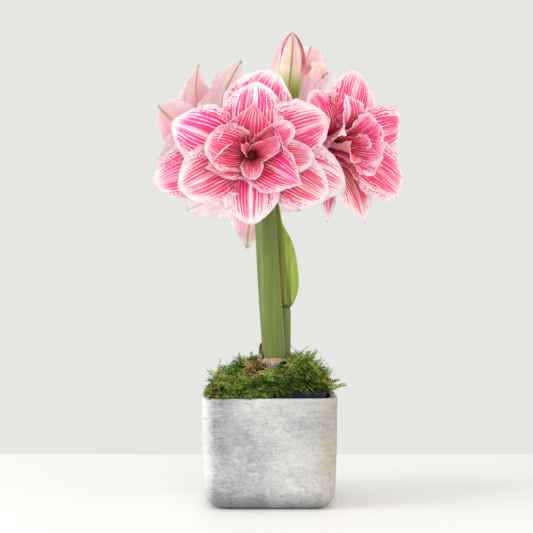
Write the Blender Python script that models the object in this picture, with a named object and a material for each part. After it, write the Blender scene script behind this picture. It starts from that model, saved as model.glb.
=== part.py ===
"""A double-flowered amaryllis, growing from its bulb in a square concrete pot."""

import math
import random
from dataclasses import dataclass

import bmesh
import bpy
from mathutils import Euler, Matrix, Vector
from mathutils.geometry import interpolate_bezier

GAP = 0.0003
MERGE = 1e-6

# Concrete pot, standing on Z = 0
POT_WIDTH = 0.150
POT_FOOT_WIDTH = 0.1445
POT_HEIGHT = 0.1224
POT_WALL = 0.008
POT_FLOOR = 0.012
POT_CORNER = 0.024
POT_FOOT_ROUNDING = 0.019

# Thin plastic nursery pot inside it
NURSERY_WIDTH = 0.125
NURSERY_FOOT_WIDTH = 0.104
NURSERY_TOP = 0.1289
NURSERY_WALL = 0.0014
NURSERY_CORNER = 0.012
DRAIN_RADIUS = 0.005
DRAIN_OFFSET = 0.032

# Soil, bulb and moss. The bulb's neck is oval, because two stems stand in it
SOIL_TOP = 0.1154
BULB_CENTRE = Vector((0.0080, 0.0075, 0.0))
BULB_SECTIONS = (
    (0.013, 0.013, 0.038),
    (0.030, 0.030, 0.046),
    (0.0405, 0.0405, 0.064),
    (0.0430, 0.0430, 0.085),
    (0.0385, 0.0395, 0.106),
    (0.0290, 0.0325, 0.126),
    (0.0215, 0.0275, 0.142),
    (0.0190, 0.0255, 0.1585),
)
BULB_SIDES = 24
NECK_TOP = BULB_SECTIONS[-1][2]
STEM_HOLE_FLOOR = 0.128
TUNIC_WIDTH = 0.0207
TUNIC_DEPTH = 0.0270
TUNIC_WALL = 0.0009
TUNIC_FOOT = 0.1475
TUNIC_TOP = 0.1655
MOSS_GAP = 0.0018
MOSS_TOP = 0.1625
MOSS_NECK_FOOT = 0.1475
MOSS_NECK_MIDDLE = 0.1270
MOSS_BARE_SIDE = math.radians(345.0)
MOSS_DIP = math.radians(258.0)
MOSS_DIP_DEPTH = 0.009
MOSS_SECTIONS = 38
MOSS_SPRIGS = 52
SPRIG_INNER_REACH = 0.036
SPRIG_INNER_HEIGHT = 0.1580
SPRIG_OUTER_HEIGHT = 0.1318
LEAF_STUB_FRONT_TOP = 0.1715
LEAF_STUB_REAR_TOP = 0.1785
LEAF_STUB_THICKNESS = 0.0016

# Stems: base in the bulb, top under the flowers
SCAPE_BASE = Vector((0.0074, 0.0, STEM_HOLE_FLOOR + GAP))
SCAPE_TOP = Vector((-0.008, 0.0, 0.3764))
SCAPE_RADIUS = 0.013
BUD_STEM_BASE = Vector((0.0155, 0.0212, STEM_HOLE_FLOOR + GAP))
BUD_STEM_TOP = Vector((0.0172, 0.0212, 0.2192))
BUD_STEM_RADIUS = 0.0078
BUD_COLLAR = 0.007
PEDICEL_RADIUS = 0.0036
OVARY_RADIUS = 0.0058
OVARY_LENGTH = 0.016

# Blooms: their tube runs back from the throat to the ovary
TUBE_LENGTH = 0.034
TUBE_FOOT_RADIUS = 0.0048
TUBE_MOUTH_RADIUS = 0.0125
TUBE_MOUTH = -0.004
BLADE_ROOT_RADIUS = 0.0035
BLADE_ROOT = -0.024
BLADE_ROOT_HALF_WIDTH = 0.0035
BLADE_ROOT_CUP = 0.9
BLADE_HALF_THICKNESS = 0.0005
BLADE_SWELL = 1.4
BLADE_WIDEST = 0.64
BLADE_PLEAT = 0.047
THROAT_RISE = 0.5
THROAT_HEIGHT = 0.010


@dataclass(frozen=True)
class Tepal:
    """A petal in its bloom's frame. Angles are in degrees and the rest in metres."""

    angle: float  # round the bloom's axis, from its right-hand side
    reach: float  # of the tip, from the axis
    lift: float  # of the tip, in front of the throat
    width: float
    arch: float = 0.016  # how far the blade rises before its tip turns down
    belly: float = 0.0  # how far a closed blade swells from the axis
    cup: float = -0.15  # radians each half turns towards the front
    wave: float = 0.005
    waves: float = 2.2
    sway: float = 0.0
    twist: float = 0.0


@dataclass(frozen=True)
class Place:
    """Where a bloom's throat is, and where it faces, in degrees from the front."""

    throat: Vector
    azimuth: float
    elevation: float

    def matrix(self):
        """The bloom's frame: its own +Z runs out of the throat, and its +Y up."""
        turn = Euler((math.radians(90.0 - self.elevation), 0.0, math.radians(self.azimuth)))
        return Matrix.LocRotScale(self.throat, turn, None)

    def along(self, distance):
        """A point on the bloom's axis."""
        return self.matrix() @ Vector((0.0, 0.0, distance))


FRONT = Place(Vector((-0.021, -0.084, 0.3864)), 1.0, -5.0)
RIGHT = Place(Vector((0.066, -0.045, 0.4034)), 46.0, -7.0)
LEFT = Place(Vector((-0.066, 0.030, 0.4064)), 232.0, 12.0)
BACK = Place(Vector((0.000, 0.080, 0.3874)), 174.0, -12.0)
OPENING = Place(Vector((0.030, 0.038, 0.4424)), 120.0, 70.0)
BUD = Place(Vector((0.0190, 0.006, 0.4574)), 90.0, 84.5)

FRONT_TEPALS = (
    Tepal(354, 0.106, -0.006, 0.064, arch=0.012, sway=-0.027),
    Tepal(103, 0.083, 0.002, 0.066, arch=0.010, cup=-0.1, sway=-0.048),
    Tepal(187, 0.108, -0.008, 0.066, arch=0.012, sway=0.021),
    Tepal(36, 0.090, 0.010, 0.068, sway=-0.019),
    Tepal(89, 0.078, 0.010, 0.062, sway=-0.004),
    Tepal(150, 0.089, 0.010, 0.064, sway=0.012),
    Tepal(206, 0.085, 0.012, 0.060),
    Tepal(270, 0.074, 0.008, 0.062),
    Tepal(331, 0.096, 0.010, 0.058),
    Tepal(92, 0.058, 0.034, 0.060, arch=0.010, cup=0.3, sway=-0.010),
    Tepal(162, 0.050, 0.036, 0.042, arch=0.010, cup=0.35),
    Tepal(206, 0.049, 0.034, 0.046, arch=0.008, cup=0.2, sway=-0.010),
    Tepal(331, 0.064, 0.030, 0.048, arch=0.010, cup=0.1),
    Tepal(36, 0.054, 0.030, 0.034, arch=0.010, cup=0.6),
    Tepal(358, 0.069, 0.022, 0.036, arch=0.010, cup=0.3),
)
FRONT_PETALOIDS = (
    Tepal(275, 0.026, 0.028, 0.020, arch=0.006, cup=0.5, wave=0.0015),
    Tepal(30, 0.036, 0.034, 0.018, arch=0.006, cup=0.7, wave=0.002),
    Tepal(135, 0.020, 0.034, 0.014, arch=0.004, cup=0.6, wave=0.0015),
)
RIGHT_TEPALS = (
    Tepal(69, 0.090, 0.005, 0.060),
    Tepal(130, 0.070, 0.004, 0.054),
    Tepal(17, 0.093, 0.028, 0.062),
    Tepal(335, 0.112, 0.028, 0.060),
    Tepal(306, 0.108, 0.008, 0.054),
    Tepal(42, 0.092, 0.000, 0.056, arch=0.012),
    Tepal(284, 0.092, -0.012, 0.050, arch=0.010),
    Tepal(122, 0.064, 0.044, 0.040, arch=0.010, cup=0.35),
    Tepal(65, 0.036, 0.046, 0.040, arch=0.010, cup=0.3),
    Tepal(0, 0.036, 0.044, 0.040, arch=0.010, cup=0.3),
    Tepal(326, 0.039, 0.045, 0.040, arch=0.010, cup=0.3),
)
RIGHT_PETALOIDS = (
    Tepal(55, 0.012, 0.048, 0.022, arch=0.006, cup=0.4, wave=0.002),
    Tepal(232, 0.022, 0.044, 0.020, arch=0.006, cup=0.5, wave=0.002),
)
LEFT_TEPALS = (
    Tepal(26, 0.085, 0.024, 0.054),
    Tepal(81, 0.091, 0.028, 0.048),
    Tepal(112, 0.111, 0.012, 0.058),
    Tepal(158, 0.082, 0.010, 0.050),
    Tepal(206, 0.056, 0.026, 0.046),
    Tepal(252, 0.062, 0.032, 0.050),
    Tepal(316, 0.078, 0.006, 0.052),
    Tepal(352, 0.080, 0.004, 0.052),
    Tepal(55, 0.052, 0.044, 0.044, arch=0.010, cup=0.3),
    Tepal(175, 0.052, 0.046, 0.044, arch=0.010, cup=0.3),
    Tepal(300, 0.052, 0.044, 0.044, arch=0.010, cup=0.3),
)
BACK_TEPALS = (
    Tepal(317, 0.083, 0.000, 0.054, sway=-0.055),
    Tepal(236, 0.068, 0.000, 0.050),
    Tepal(180, 0.086, 0.008, 0.052),
    Tepal(128, 0.084, 0.004, 0.052),
    Tepal(72, 0.082, 0.010, 0.052),
    Tepal(22, 0.078, 0.012, 0.052),
    Tepal(333, 0.115, 0.014, 0.054, arch=0.012),
    Tepal(100, 0.050, 0.038, 0.044, arch=0.010, cup=0.3),
    Tepal(215, 0.050, 0.038, 0.044, arch=0.010, cup=0.3),
    Tepal(330, 0.050, 0.038, 0.044, arch=0.010, cup=0.3),
)
OPENING_TEPALS = (
    Tepal(130, 0.020, 0.081, 0.034, belly=0.020, arch=0.000, cup=0.6, wave=0.002),
    Tepal(178, 0.020, 0.076, 0.036, belly=0.020, arch=0.000, cup=0.6, wave=0.002),
    Tepal(240, 0.028, 0.068, 0.038, belly=0.022, arch=0.002, cup=0.6, wave=0.002),
    Tepal(300, 0.030, 0.068, 0.038, belly=0.022, arch=0.002, cup=0.5, wave=0.002),
    Tepal(0, 0.024, 0.070, 0.036, belly=0.020, arch=0.000, cup=0.5, wave=0.002),
    Tepal(70, 0.020, 0.074, 0.036, belly=0.020, arch=0.000, cup=0.6, wave=0.002),
)
BUD_TEPALS = (
    Tepal(225, 0.002, 0.078, 0.038, belly=0.0245, arch=-0.018, cup=0.95, wave=0.0),
    Tepal(345, 0.002, 0.077, 0.038, belly=0.0245, arch=-0.018, cup=0.95, wave=0.0),
    Tepal(105, 0.002, 0.076, 0.038, belly=0.0245, arch=-0.018, cup=0.95, wave=0.0),
)


def clear_scene():
    """Remove every object that is there already."""
    for obj in list(bpy.data.objects):
        bpy.data.objects.remove(obj, do_unlink=True)


def finish(name, colour, roughness, metallic=0.0):
    """A plain Principled material."""
    material = bpy.data.materials.new(name)
    material.use_nodes = True
    shader = material.node_tree.nodes["Principled BSDF"]
    shader.inputs["Base Color"].default_value = (*colour, 1.0)
    shader.inputs["Roughness"].default_value = roughness
    shader.inputs["Metallic"].default_value = metallic
    return material


def add_object(name, bm, material=None, matrix=None):
    """Turn a bmesh into a named object with outward faces."""
    bmesh.ops.remove_doubles(bm, verts=bm.verts, dist=MERGE)
    bmesh.ops.recalc_face_normals(bm, faces=bm.faces)
    mesh = bpy.data.meshes.new(name)
    bm.to_mesh(mesh)
    bm.free()
    if material:
        mesh.materials.append(material)
    obj = bpy.data.objects.new(name, mesh)
    bpy.context.scene.collection.objects.link(obj)
    if matrix:
        obj.matrix_world = matrix
    return obj


def apply_modifiers(obj):
    """Bake an object's modifiers into its mesh."""
    graph = bpy.context.evaluated_depsgraph_get()
    baked = bpy.data.meshes.new_from_object(obj.evaluated_get(graph))
    obj.modifiers.clear()
    obj.data = baked


def drop_scraps(obj):
    """Keep only the largest body, without sealed hollows or loose scraps, as triangles."""
    bm = bmesh.new()
    bm.from_mesh(obj.data)
    islands = []
    unseen = set(bm.faces)
    while unseen:
        island = [unseen.pop()]
        for face in island:
            near = {other for edge in face.edges for other in edge.link_faces} & unseen
            unseen -= near
            island.extend(near)
        islands.append(island)
    islands.sort(key=lambda island: sum(face.calc_area() for face in island))
    loose = [face for island in islands[:-1] for face in island]
    bmesh.ops.delete(bm, geom=loose, context="FACES")
    bmesh.ops.triangulate(bm, faces=bm.faces)
    bm.to_mesh(obj.data)
    bm.free()


def fuse(obj, parts):
    """Join closed parts to an object with one union."""
    group = bpy.data.collections.new(obj.name + "_parts")
    bpy.context.scene.collection.children.link(group)
    for part in parts:
        bpy.context.scene.collection.objects.unlink(part)
        group.objects.link(part)
    union = obj.modifiers.new("union", "BOOLEAN")
    union.operation = "UNION"
    union.operand_type = "COLLECTION"
    union.collection = group
    union.solver = "EXACT"
    apply_modifiers(obj)
    for part in parts:
        bpy.data.objects.remove(part, do_unlink=True)
    bpy.data.collections.remove(group)
    drop_scraps(obj)


def cut(obj, cutter):
    """Take one closed shape out of an object."""
    difference = obj.modifiers.new("difference", "BOOLEAN")
    difference.operation = "DIFFERENCE"
    difference.object = cutter
    difference.solver = "EXACT"
    apply_modifiers(obj)
    bpy.data.objects.remove(cutter, do_unlink=True)


def ring_edges(verts):
    """The edges that join a ring's own vertices."""
    members = set(verts)
    return list({edge for vert in verts for edge in vert.link_edges if edge.other_vert(vert) in members})


def tube(points, radii, sides):
    """A closed round tube through points, with a radius, or a pair of them, at each."""
    bm = bmesh.new()
    previous = None
    last = len(points) - 1
    for index, point in enumerate(points):
        ahead = points[min(index + 1, last)] - points[max(index - 1, 0)]
        turn = Vector((0.0, 0.0, 1.0)).rotation_difference(ahead).to_matrix().to_4x4()
        radius = radii[index]
        wide, deep = radius if isinstance(radius, tuple) else (radius, radius)
        shape = Matrix.Diagonal((wide, deep, 1.0, 1.0))
        ring = bmesh.ops.create_circle(
            bm,
            cap_ends=index in (0, last),
            radius=1.0,
            segments=sides,
            matrix=Matrix.Translation(point) @ turn @ shape,
        )["verts"]
        edges = ring_edges(ring)
        if previous:
            bmesh.ops.bridge_loops(bm, edges=previous + edges)
        previous = edges
    return bm


def turned(profile, sides, centre):
    """A closed solid turned from (radius, height) points, round a vertical line at centre."""
    points = [centre + Vector((0.0, 0.0, height)) for _, height in profile]
    return tube(points, [radius for radius, _ in profile], sides)


def rounded_block(width, foot_width, bottom, top, corner, corner_steps):
    """A square block with rounded upright edges, narrower at its foot."""
    bm = bmesh.new()
    size = Matrix.Diagonal((width, width, top - bottom, 1.0))
    middle = Matrix.Translation((0.0, 0.0, (top + bottom) / 2.0))
    bmesh.ops.create_cube(bm, size=1.0, matrix=middle @ size)
    for vert in bm.verts:
        if vert.co.z < (top + bottom) / 2.0:
            vert.co.x *= foot_width / width
            vert.co.y *= foot_width / width
    upright = [edge for edge in bm.edges if abs(edge.verts[0].co.z - edge.verts[1].co.z) > MERGE]
    bmesh.ops.bevel(
        bm,
        geom=upright,
        offset=corner,
        segments=corner_steps,
        profile=0.5,
        affect="EDGES",
        material=-1,
    )
    return bm


def make_pot(material):
    """Concrete pot: rounded square, rounded foot, open top."""
    bm = rounded_block(POT_WIDTH, POT_FOOT_WIDTH, 0.0, POT_HEIGHT, POT_CORNER, 5)
    foot = [edge for edge in bm.edges if all(abs(vert.co.z) < MERGE for vert in edge.verts)]
    bmesh.ops.bevel(
        bm,
        geom=foot,
        offset=POT_FOOT_ROUNDING,
        segments=4,
        profile=0.5,
        affect="EDGES",
        material=-1,
    )
    pot = add_object("pot", bm, material)
    inner = POT_WIDTH - 2.0 * POT_WALL
    inner_foot = inner * 0.955
    reach = 0.01
    slope = (inner - inner_foot) / (POT_HEIGHT - POT_FLOOR)
    well = rounded_block(
        inner + slope * reach,
        inner_foot,
        POT_FLOOR,
        POT_HEIGHT + reach,
        POT_CORNER - POT_WALL,
        4,
    )
    cut(pot, add_object("pot_well", well))
    return pot


def make_nursery_pot(material):
    """Thin tapered plastic pot with drainage holes, standing on the concrete floor."""
    bottom = POT_FLOOR + GAP
    floor = bottom + NURSERY_WALL
    bm = rounded_block(NURSERY_WIDTH, NURSERY_FOOT_WIDTH, bottom, NURSERY_TOP, NURSERY_CORNER, 3)
    pot = add_object("nursery_pot", bm, material)
    reach = 0.01
    slope = (NURSERY_WIDTH - NURSERY_FOOT_WIDTH) / (NURSERY_TOP - bottom)
    well = rounded_block(
        NURSERY_WIDTH - 2.0 * NURSERY_WALL + slope * reach,
        NURSERY_FOOT_WIDTH - 2.0 * NURSERY_WALL,
        floor,
        NURSERY_TOP + reach,
        NURSERY_CORNER - NURSERY_WALL,
        3,
    )
    cut(pot, add_object("nursery_well", well))
    for side_x in (-1.0, 1.0):
        for side_y in (-1.0, 1.0):
            centre = Vector((side_x * DRAIN_OFFSET, side_y * DRAIN_OFFSET, 0.0))
            drain = turned(((DRAIN_RADIUS, bottom - reach), (DRAIN_RADIUS, floor + reach)), 8, centre)
            cut(pot, add_object("drain", drain))
    return pot


def nursery_inner_half(height):
    """Half the inner width of the nursery pot at a height."""
    bottom = POT_FLOOR + GAP
    share = (height - bottom) / (NURSERY_TOP - bottom)
    outer = NURSERY_FOOT_WIDTH + share * (NURSERY_WIDTH - NURSERY_FOOT_WIDTH)
    return outer / 2.0 - NURSERY_WALL


def make_soil(material):
    """Soil that fills the nursery pot, with a bowl for the bulb."""
    bottom = POT_FLOOR + 2.0 * GAP + NURSERY_WALL
    clearance = 2.0 * GAP
    bm = rounded_block(
        2.0 * (nursery_inner_half(SOIL_TOP) - clearance),
        2.0 * (nursery_inner_half(bottom) - clearance),
        bottom,
        SOIL_TOP,
        NURSERY_CORNER,
        3,
    )
    soil = add_object("soil", bm, material)
    cut(soil, add_object("bowl", bulb_body(clearance)))
    return soil


def bulb_body(clearance):
    """The bulb's outer shape, or a larger one by a clearance."""
    points = [BULB_CENTRE + Vector((0.0, 0.0, height)) for _, _, height in BULB_SECTIONS]
    points[0].z -= clearance
    radii = [(wide + clearance, deep + clearance) for wide, deep, _ in BULB_SECTIONS]
    return tube(points, radii, BULB_SIDES)


def stem_holes(depth):
    """Cutters for the holes that the stems stand in."""
    reach = 0.03
    for base, radius, sides in (
        (SCAPE_BASE, SCAPE_RADIUS, 16),
        (BUD_STEM_BASE, BUD_STEM_RADIUS, 12),
    ):
        foot = Vector((base.x, base.y, depth))
        lean = (SCAPE_TOP - SCAPE_BASE) if base is SCAPE_BASE else (BUD_STEM_TOP - BUD_STEM_BASE)
        head = foot + lean * ((NECK_TOP + reach - depth) / lean.z)
        clear = radius + 2.0 * GAP
        yield add_object("stem_hole", tube([foot, head], [clear, clear], sides))


def make_bulb(material):
    """The bulb, with its neck and plain holes for both stems."""
    bulb = add_object("bulb", bulb_body(0.0), material)
    for hole in stem_holes(STEM_HOLE_FLOOR):
        cut(bulb, hole)
    return bulb


def neck_way(angle):
    """The level direction out of the oval neck at an angle."""
    return Vector((math.cos(angle) * TUNIC_DEPTH, math.sin(angle) * TUNIC_WIDTH, 0.0)).normalized()


def neck_point(angle, clearance):
    """A point round the oval neck, outside the tunic's inner face by a clearance."""
    oval = Vector((math.cos(angle) * TUNIC_WIDTH, math.sin(angle) * TUNIC_DEPTH, 0.0))
    return BULB_CENTRE + oval + neck_way(angle) * clearance


def make_tunic(material):
    """Papery skin round the neck, torn along its upper edge."""
    draw = random.Random(5)
    sides = 24
    bm = bmesh.new()
    rows = ((0.0009, TUNIC_FOOT), (0.0002, 0.1565), (0.0006, TUNIC_TOP))
    outer, inner = [], []
    for flare, height in rows:
        outer_ring, inner_ring = [], []
        for step in range(sides):
            angle = math.tau * step / sides
            torn = draw.uniform(-0.0045, 0.0025) if height == TUNIC_TOP else 0.0
            lift = Vector((0.0, 0.0, height + torn))
            inside = neck_point(angle, flare)
            inner_ring.append(bm.verts.new(inside + lift))
            outer_ring.append(bm.verts.new(inside + lift + neck_way(angle) * TUNIC_WALL))
        outer.append(outer_ring)
        inner.append(inner_ring)
    loop = outer + inner[::-1]
    for row, ring in enumerate(loop):
        following = loop[(row + 1) % len(loop)]
        for step in range(sides):
            ahead = (step + 1) % sides
            bm.faces.new((ring[step], ring[ahead], following[ahead], following[step]))
    bmesh.ops.triangulate(bm, faces=bm.faces)
    return add_object("bulb_tunic", bm, material)


def blade_rows(tepal):
    """Rows along a blade: more on a long one."""
    return 7 if tepal.reach > 0.07 else 5


def blade_half_width(tepal, share):
    """Half the blade's width at a share of its length."""
    root = BLADE_ROOT_HALF_WIDTH * (1.0 - share)
    fall = BLADE_SWELL * (1.0 - BLADE_WIDEST) / BLADE_WIDEST
    rising = (share / BLADE_WIDEST) ** BLADE_SWELL
    falling = ((1.0 - share) / (1.0 - BLADE_WIDEST)) ** fall
    return root + tepal.width / 2.0 * rising * falling


def blade_spine(tepal, rows):
    """Points down the midrib, in the bloom's frame."""
    angle = math.radians(tepal.angle)
    outward = Vector((math.cos(angle), math.sin(angle), 0.0))
    sideways = Vector((-math.sin(angle), math.cos(angle), 0.0))
    forward = Vector((0.0, 0.0, 1.0))
    root = outward * BLADE_ROOT_RADIUS + forward * BLADE_ROOT
    mouth = max(0.08 * tepal.reach + 0.003, tepal.belly)
    throat = outward * mouth + forward * (THROAT_RISE * tepal.lift + THROAT_HEIGHT)
    swell = max(0.6 * tepal.reach, tepal.belly)
    crest = outward * swell + forward * (tepal.lift + tepal.arch) + sideways * tepal.sway * 0.3
    tip = outward * tepal.reach + forward * tepal.lift + sideways * tepal.sway
    return interpolate_bezier(root, throat, crest, tip, rows + 1)


def blade(tepal, rows, columns):
    """A closed thin petal: a grid bent along its midrib and across, then given two faces."""
    bm = bmesh.new()
    bmesh.ops.create_grid(bm, x_segments=columns, y_segments=rows, size=1.0)
    spine = blade_spine(tepal, rows)
    angle = math.radians(tepal.angle)
    sideways = Vector((-math.sin(angle), math.cos(angle), 0.0))
    for vert in bm.verts:
        row = round((vert.co.y + 1.0) / 2.0 * rows)
        vert.co = blade_point(tepal, spine, row, vert.co.x, sideways)
    bmesh.ops.remove_doubles(bm, verts=bm.verts, dist=MERGE)
    bmesh.ops.triangulate(bm, faces=bm.faces)
    bm.normal_update()
    inside = [vert for vert in bm.verts if not vert.is_boundary]
    offsets = {vert: vert.normal * BLADE_HALF_THICKNESS for vert in inside}
    copies = bmesh.ops.duplicate(bm, geom=bm.faces)
    back = copies["vert_map"]
    back_faces = [item for item in copies["geom"] if isinstance(item, bmesh.types.BMFace)]
    bmesh.ops.reverse_faces(bm, faces=back_faces)
    for vert, offset in offsets.items():
        vert.co += offset
        back[vert].co -= offset
    return bm


def blade_point(tepal, spine, row, side, sideways):
    """The point at a row of the blade, at a share (-1 to 1) of its half width."""
    rows = len(spine) - 1
    share = row / rows
    along = spine[min(row + 1, rows)] - spine[max(row - 1, 0)]
    across = Matrix.Rotation(math.radians(tepal.twist) * share, 3, along) @ sideways
    front = along.cross(across).normalized()
    across = front.cross(along).normalized()
    reach = blade_half_width(tepal, share) * side
    root_cup = BLADE_ROOT_CUP * (1.0 - share) ** 2
    opened = math.sin(math.pi * min(share * 1.2, 1.0) / 2.0)
    bend = (tepal.cup * opened + root_cup) * abs(side) / 2.0
    start = math.radians(5.0 * tepal.angle)
    ripple = math.sin(math.tau * tepal.waves * share + start + 1.3 * side)
    middle = math.sin(math.pi * share)
    frill = tepal.wave * ripple * middle * abs(side) ** 3
    pleat = BLADE_PLEAT * tepal.width * middle * (1.0 - abs(side)) ** 2
    raised = abs(reach) * math.sin(bend) + frill - pleat
    return spine[row] + across * reach * math.cos(bend) + front * raised


def bloom_core():
    """The tube behind a bloom's throat, which its blades stand out of."""
    profile = (
        (TUBE_FOOT_RADIUS, -TUBE_LENGTH),
        (TUBE_MOUTH_RADIUS, TUBE_MOUTH),
        (TUBE_MOUTH_RADIUS * 0.5, TUBE_MOUTH + 0.005),
    )
    return turned(profile, 10, Vector())


def bud_core():
    """The closed inside of a bud, which its outer tepals wrap."""
    profile = (
        (TUBE_FOOT_RADIUS, -TUBE_LENGTH),
        (0.0090, -0.020),
        (0.0145, -0.004),
        (0.0175, 0.014),
        (0.0170, 0.032),
        (0.0128, 0.052),
        (0.0060, 0.067),
        (0.0012, 0.0745),
    )
    return turned(profile, 12, Vector())


def make_bloom(name, place, core, tepals, petaloids, material):
    """One bloom: its tepals in their layers, fused to its core."""
    matrix = place.matrix()
    bloom = add_object(name, core, material, matrix)
    parts = [add_object("tepal", blade(tepal, blade_rows(tepal), 4), None, matrix) for tepal in tepals]
    parts += [add_object("petaloid", blade(tepal, 5, 2), None, matrix) for tepal in petaloids]
    fuse(bloom, parts)
    return bloom


def pedicel_path(place, start):
    """A pedicel's curve from the scape's head to the foot of its ovary."""
    foot = place.along(-TUBE_LENGTH - GAP - OVARY_LENGTH)
    facing = (place.throat - place.along(-1.0)).normalized()
    span = (foot - start).length
    outward = Vector((foot.x - start.x, foot.y - start.y, 0.0)).normalized()
    rise = (Vector((0.0, 0.0, 1.0)) + outward * 0.8).normalized()
    return interpolate_bezier(start, start + rise * span * 0.4, foot - facing * span * 0.35, foot, 6)


def make_flower_stem(places, material):
    """The scape with its pedicels and ovaries, grown as one piece."""
    head = SCAPE_TOP
    middle = SCAPE_BASE.lerp(head, 0.5) + Vector((-0.0006, 0.0, 0.0))
    neck = SCAPE_BASE.lerp(head, 0.93)
    crown = head + Vector((0.0, 0.0, 0.006))
    radii = [SCAPE_RADIUS, SCAPE_RADIUS, SCAPE_RADIUS * 0.9, SCAPE_RADIUS * 0.8, SCAPE_RADIUS * 0.45]
    stem = add_object("flower_stem", tube([SCAPE_BASE, middle, neck, head, crown], radii, 16), material)
    parts = []
    for place in places:
        path = pedicel_path(place, head - Vector((0.0, 0.0, 0.003)))
        parts.append(add_object("pedicel", tube(path, [PEDICEL_RADIUS] * len(path), 7)))
        foot = place.along(-TUBE_LENGTH - GAP - OVARY_LENGTH - 0.003)
        top = place.along(-TUBE_LENGTH - GAP)
        ovary = [foot, foot.lerp(top, 0.3), foot.lerp(top, 0.65), top]
        radii = [PEDICEL_RADIUS * 0.9, OVARY_RADIUS, OVARY_RADIUS, TUBE_FOOT_RADIUS]
        parts.append(add_object("ovary", tube(ovary, radii, 8)))
    fuse(stem, parts)
    return stem


def make_bud_stem(material):
    """The second, thinner scape, with the collar under its bud."""
    lean = (BUD_STEM_TOP - BUD_STEM_BASE).normalized()
    below = BUD_STEM_TOP - lean * BUD_COLLAR
    points = [BUD_STEM_BASE, BUD_STEM_BASE.lerp(BUD_STEM_TOP, 0.5), below, BUD_STEM_TOP]
    radii = [BUD_STEM_RADIUS, BUD_STEM_RADIUS, BUD_STEM_RADIUS * 0.92, BUD_STEM_RADIUS * 0.78]
    return add_object("bud_stem", tube(points, radii, 12), material)


def make_spathe_bud(material):
    """The closed spathe: flat-sided, swelling low down, drawn out to a beak."""
    stations = (
        (0.0172, 0.0212, 0.2200, 0.0062, 0.0062),
        (0.0171, 0.0216, 0.2250, 0.0105, 0.0085),
        (0.0166, 0.0246, 0.2370, 0.0150, 0.0108),
        (0.0164, 0.0260, 0.2508, 0.0163, 0.0118),
        (0.0152, 0.0262, 0.2762, 0.0146, 0.0112),
        (0.0126, 0.0258, 0.2936, 0.0124, 0.0100),
        (0.0100, 0.0248, 0.3074, 0.0084, 0.0078),
        (0.0090, 0.0244, 0.3179, 0.0052, 0.0056),
        (0.0078, 0.0240, 0.3340, 0.0034, 0.0038),
        (0.0070, 0.0236, 0.3464, 0.0010, 0.0012),
    )
    points = [Vector(station[:3]) for station in stations]
    radii = [(station[3], station[4]) for station in stations]
    return add_object("spathe_bud", tube(points, radii, 16), material)


def make_leaf_stub(name, start, sweep, top, material):
    """The cut base of an old leaf, curved along the inside of the neck's skin."""
    bm = bmesh.new()
    foot = NECK_TOP + GAP
    steps = 7
    loops = []
    for step in range(steps + 1):
        share = step / steps
        angle = math.radians(start + sweep * share)
        crown = top - 0.5 * (top - foot) * (2.0 * share - 1.0) ** 2
        inside = neck_point(angle, -2.0 * GAP - LEAF_STUB_THICKNESS)
        outside = neck_point(angle, -2.0 * GAP)
        low = Vector((0.0, 0.0, foot))
        high = Vector((0.0, 0.0, crown))
        corners = (inside + low, outside + low, outside + high, inside + high)
        loops.append([bm.verts.new(corner) for corner in corners])
    bm.faces.new(loops[0])
    bm.faces.new(loops[-1])
    for near, far in zip(loops, loops[1:]):
        for index in range(4):
            ahead = (index + 1) % 4
            bm.faces.new((near[index], near[ahead], far[ahead], far[index]))
    bmesh.ops.triangulate(bm, faces=bm.faces)
    return add_object(name, bm, material)


def square_reach(half, corner, angle):
    """How far a rounded square's edge lies from its centre, in a direction."""
    x, y = sorted((abs(math.cos(angle)), abs(math.sin(angle))), reverse=True)
    straight = half - corner
    distance = half / x
    if distance * y <= straight:
        return distance
    along = straight * (x + y)
    return along + math.sqrt(along * along - 2.0 * straight * straight + corner * corner)


def moss_spill(angle):
    """How far the moss spills over the nursery pot's rim, 0 to 1: least on the bare side."""
    return min(1.0, max(0.0, 0.5 - 1.5 * math.cos(angle - MOSS_BARE_SIDE)))


def moss_underside(angle, outer, skirt):
    """Points below the moss: down the neck, along the soil, up the wall and over the rim."""
    outward = Vector((math.cos(angle), math.sin(angle), 0.0))
    floor = SOIL_TOP + 2.0 * GAP
    over = NURSERY_TOP + 2.0 * GAP
    wall_in = square_reach(nursery_inner_half(SOIL_TOP) - 2.0 * GAP, NURSERY_CORNER, angle)
    wall_out = moss_wall_reach(angle)
    points = [
        neck_point(angle, MOSS_GAP + 2.0 * GAP) + Vector((0.0, 0.0, MOSS_NECK_FOOT)),
        neck_point(angle, MOSS_GAP + 0.0095) + Vector((0.0, 0.0, MOSS_NECK_MIDDLE)),
        neck_point(angle, MOSS_GAP + 0.0165) + Vector((0.0, 0.0, floor)),
    ]
    steps = ((wall_in, floor), (wall_in, over), (wall_out, over), (outer, skirt))
    points += [outward * distance + Vector((0.0, 0.0, height)) for distance, height in steps]
    return points


def moss_wall_reach(angle):
    """How far out the moss clears the nursery pot's rim."""
    return square_reach(NURSERY_WIDTH / 2.0 + 0.002, NURSERY_CORNER, angle)


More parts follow.
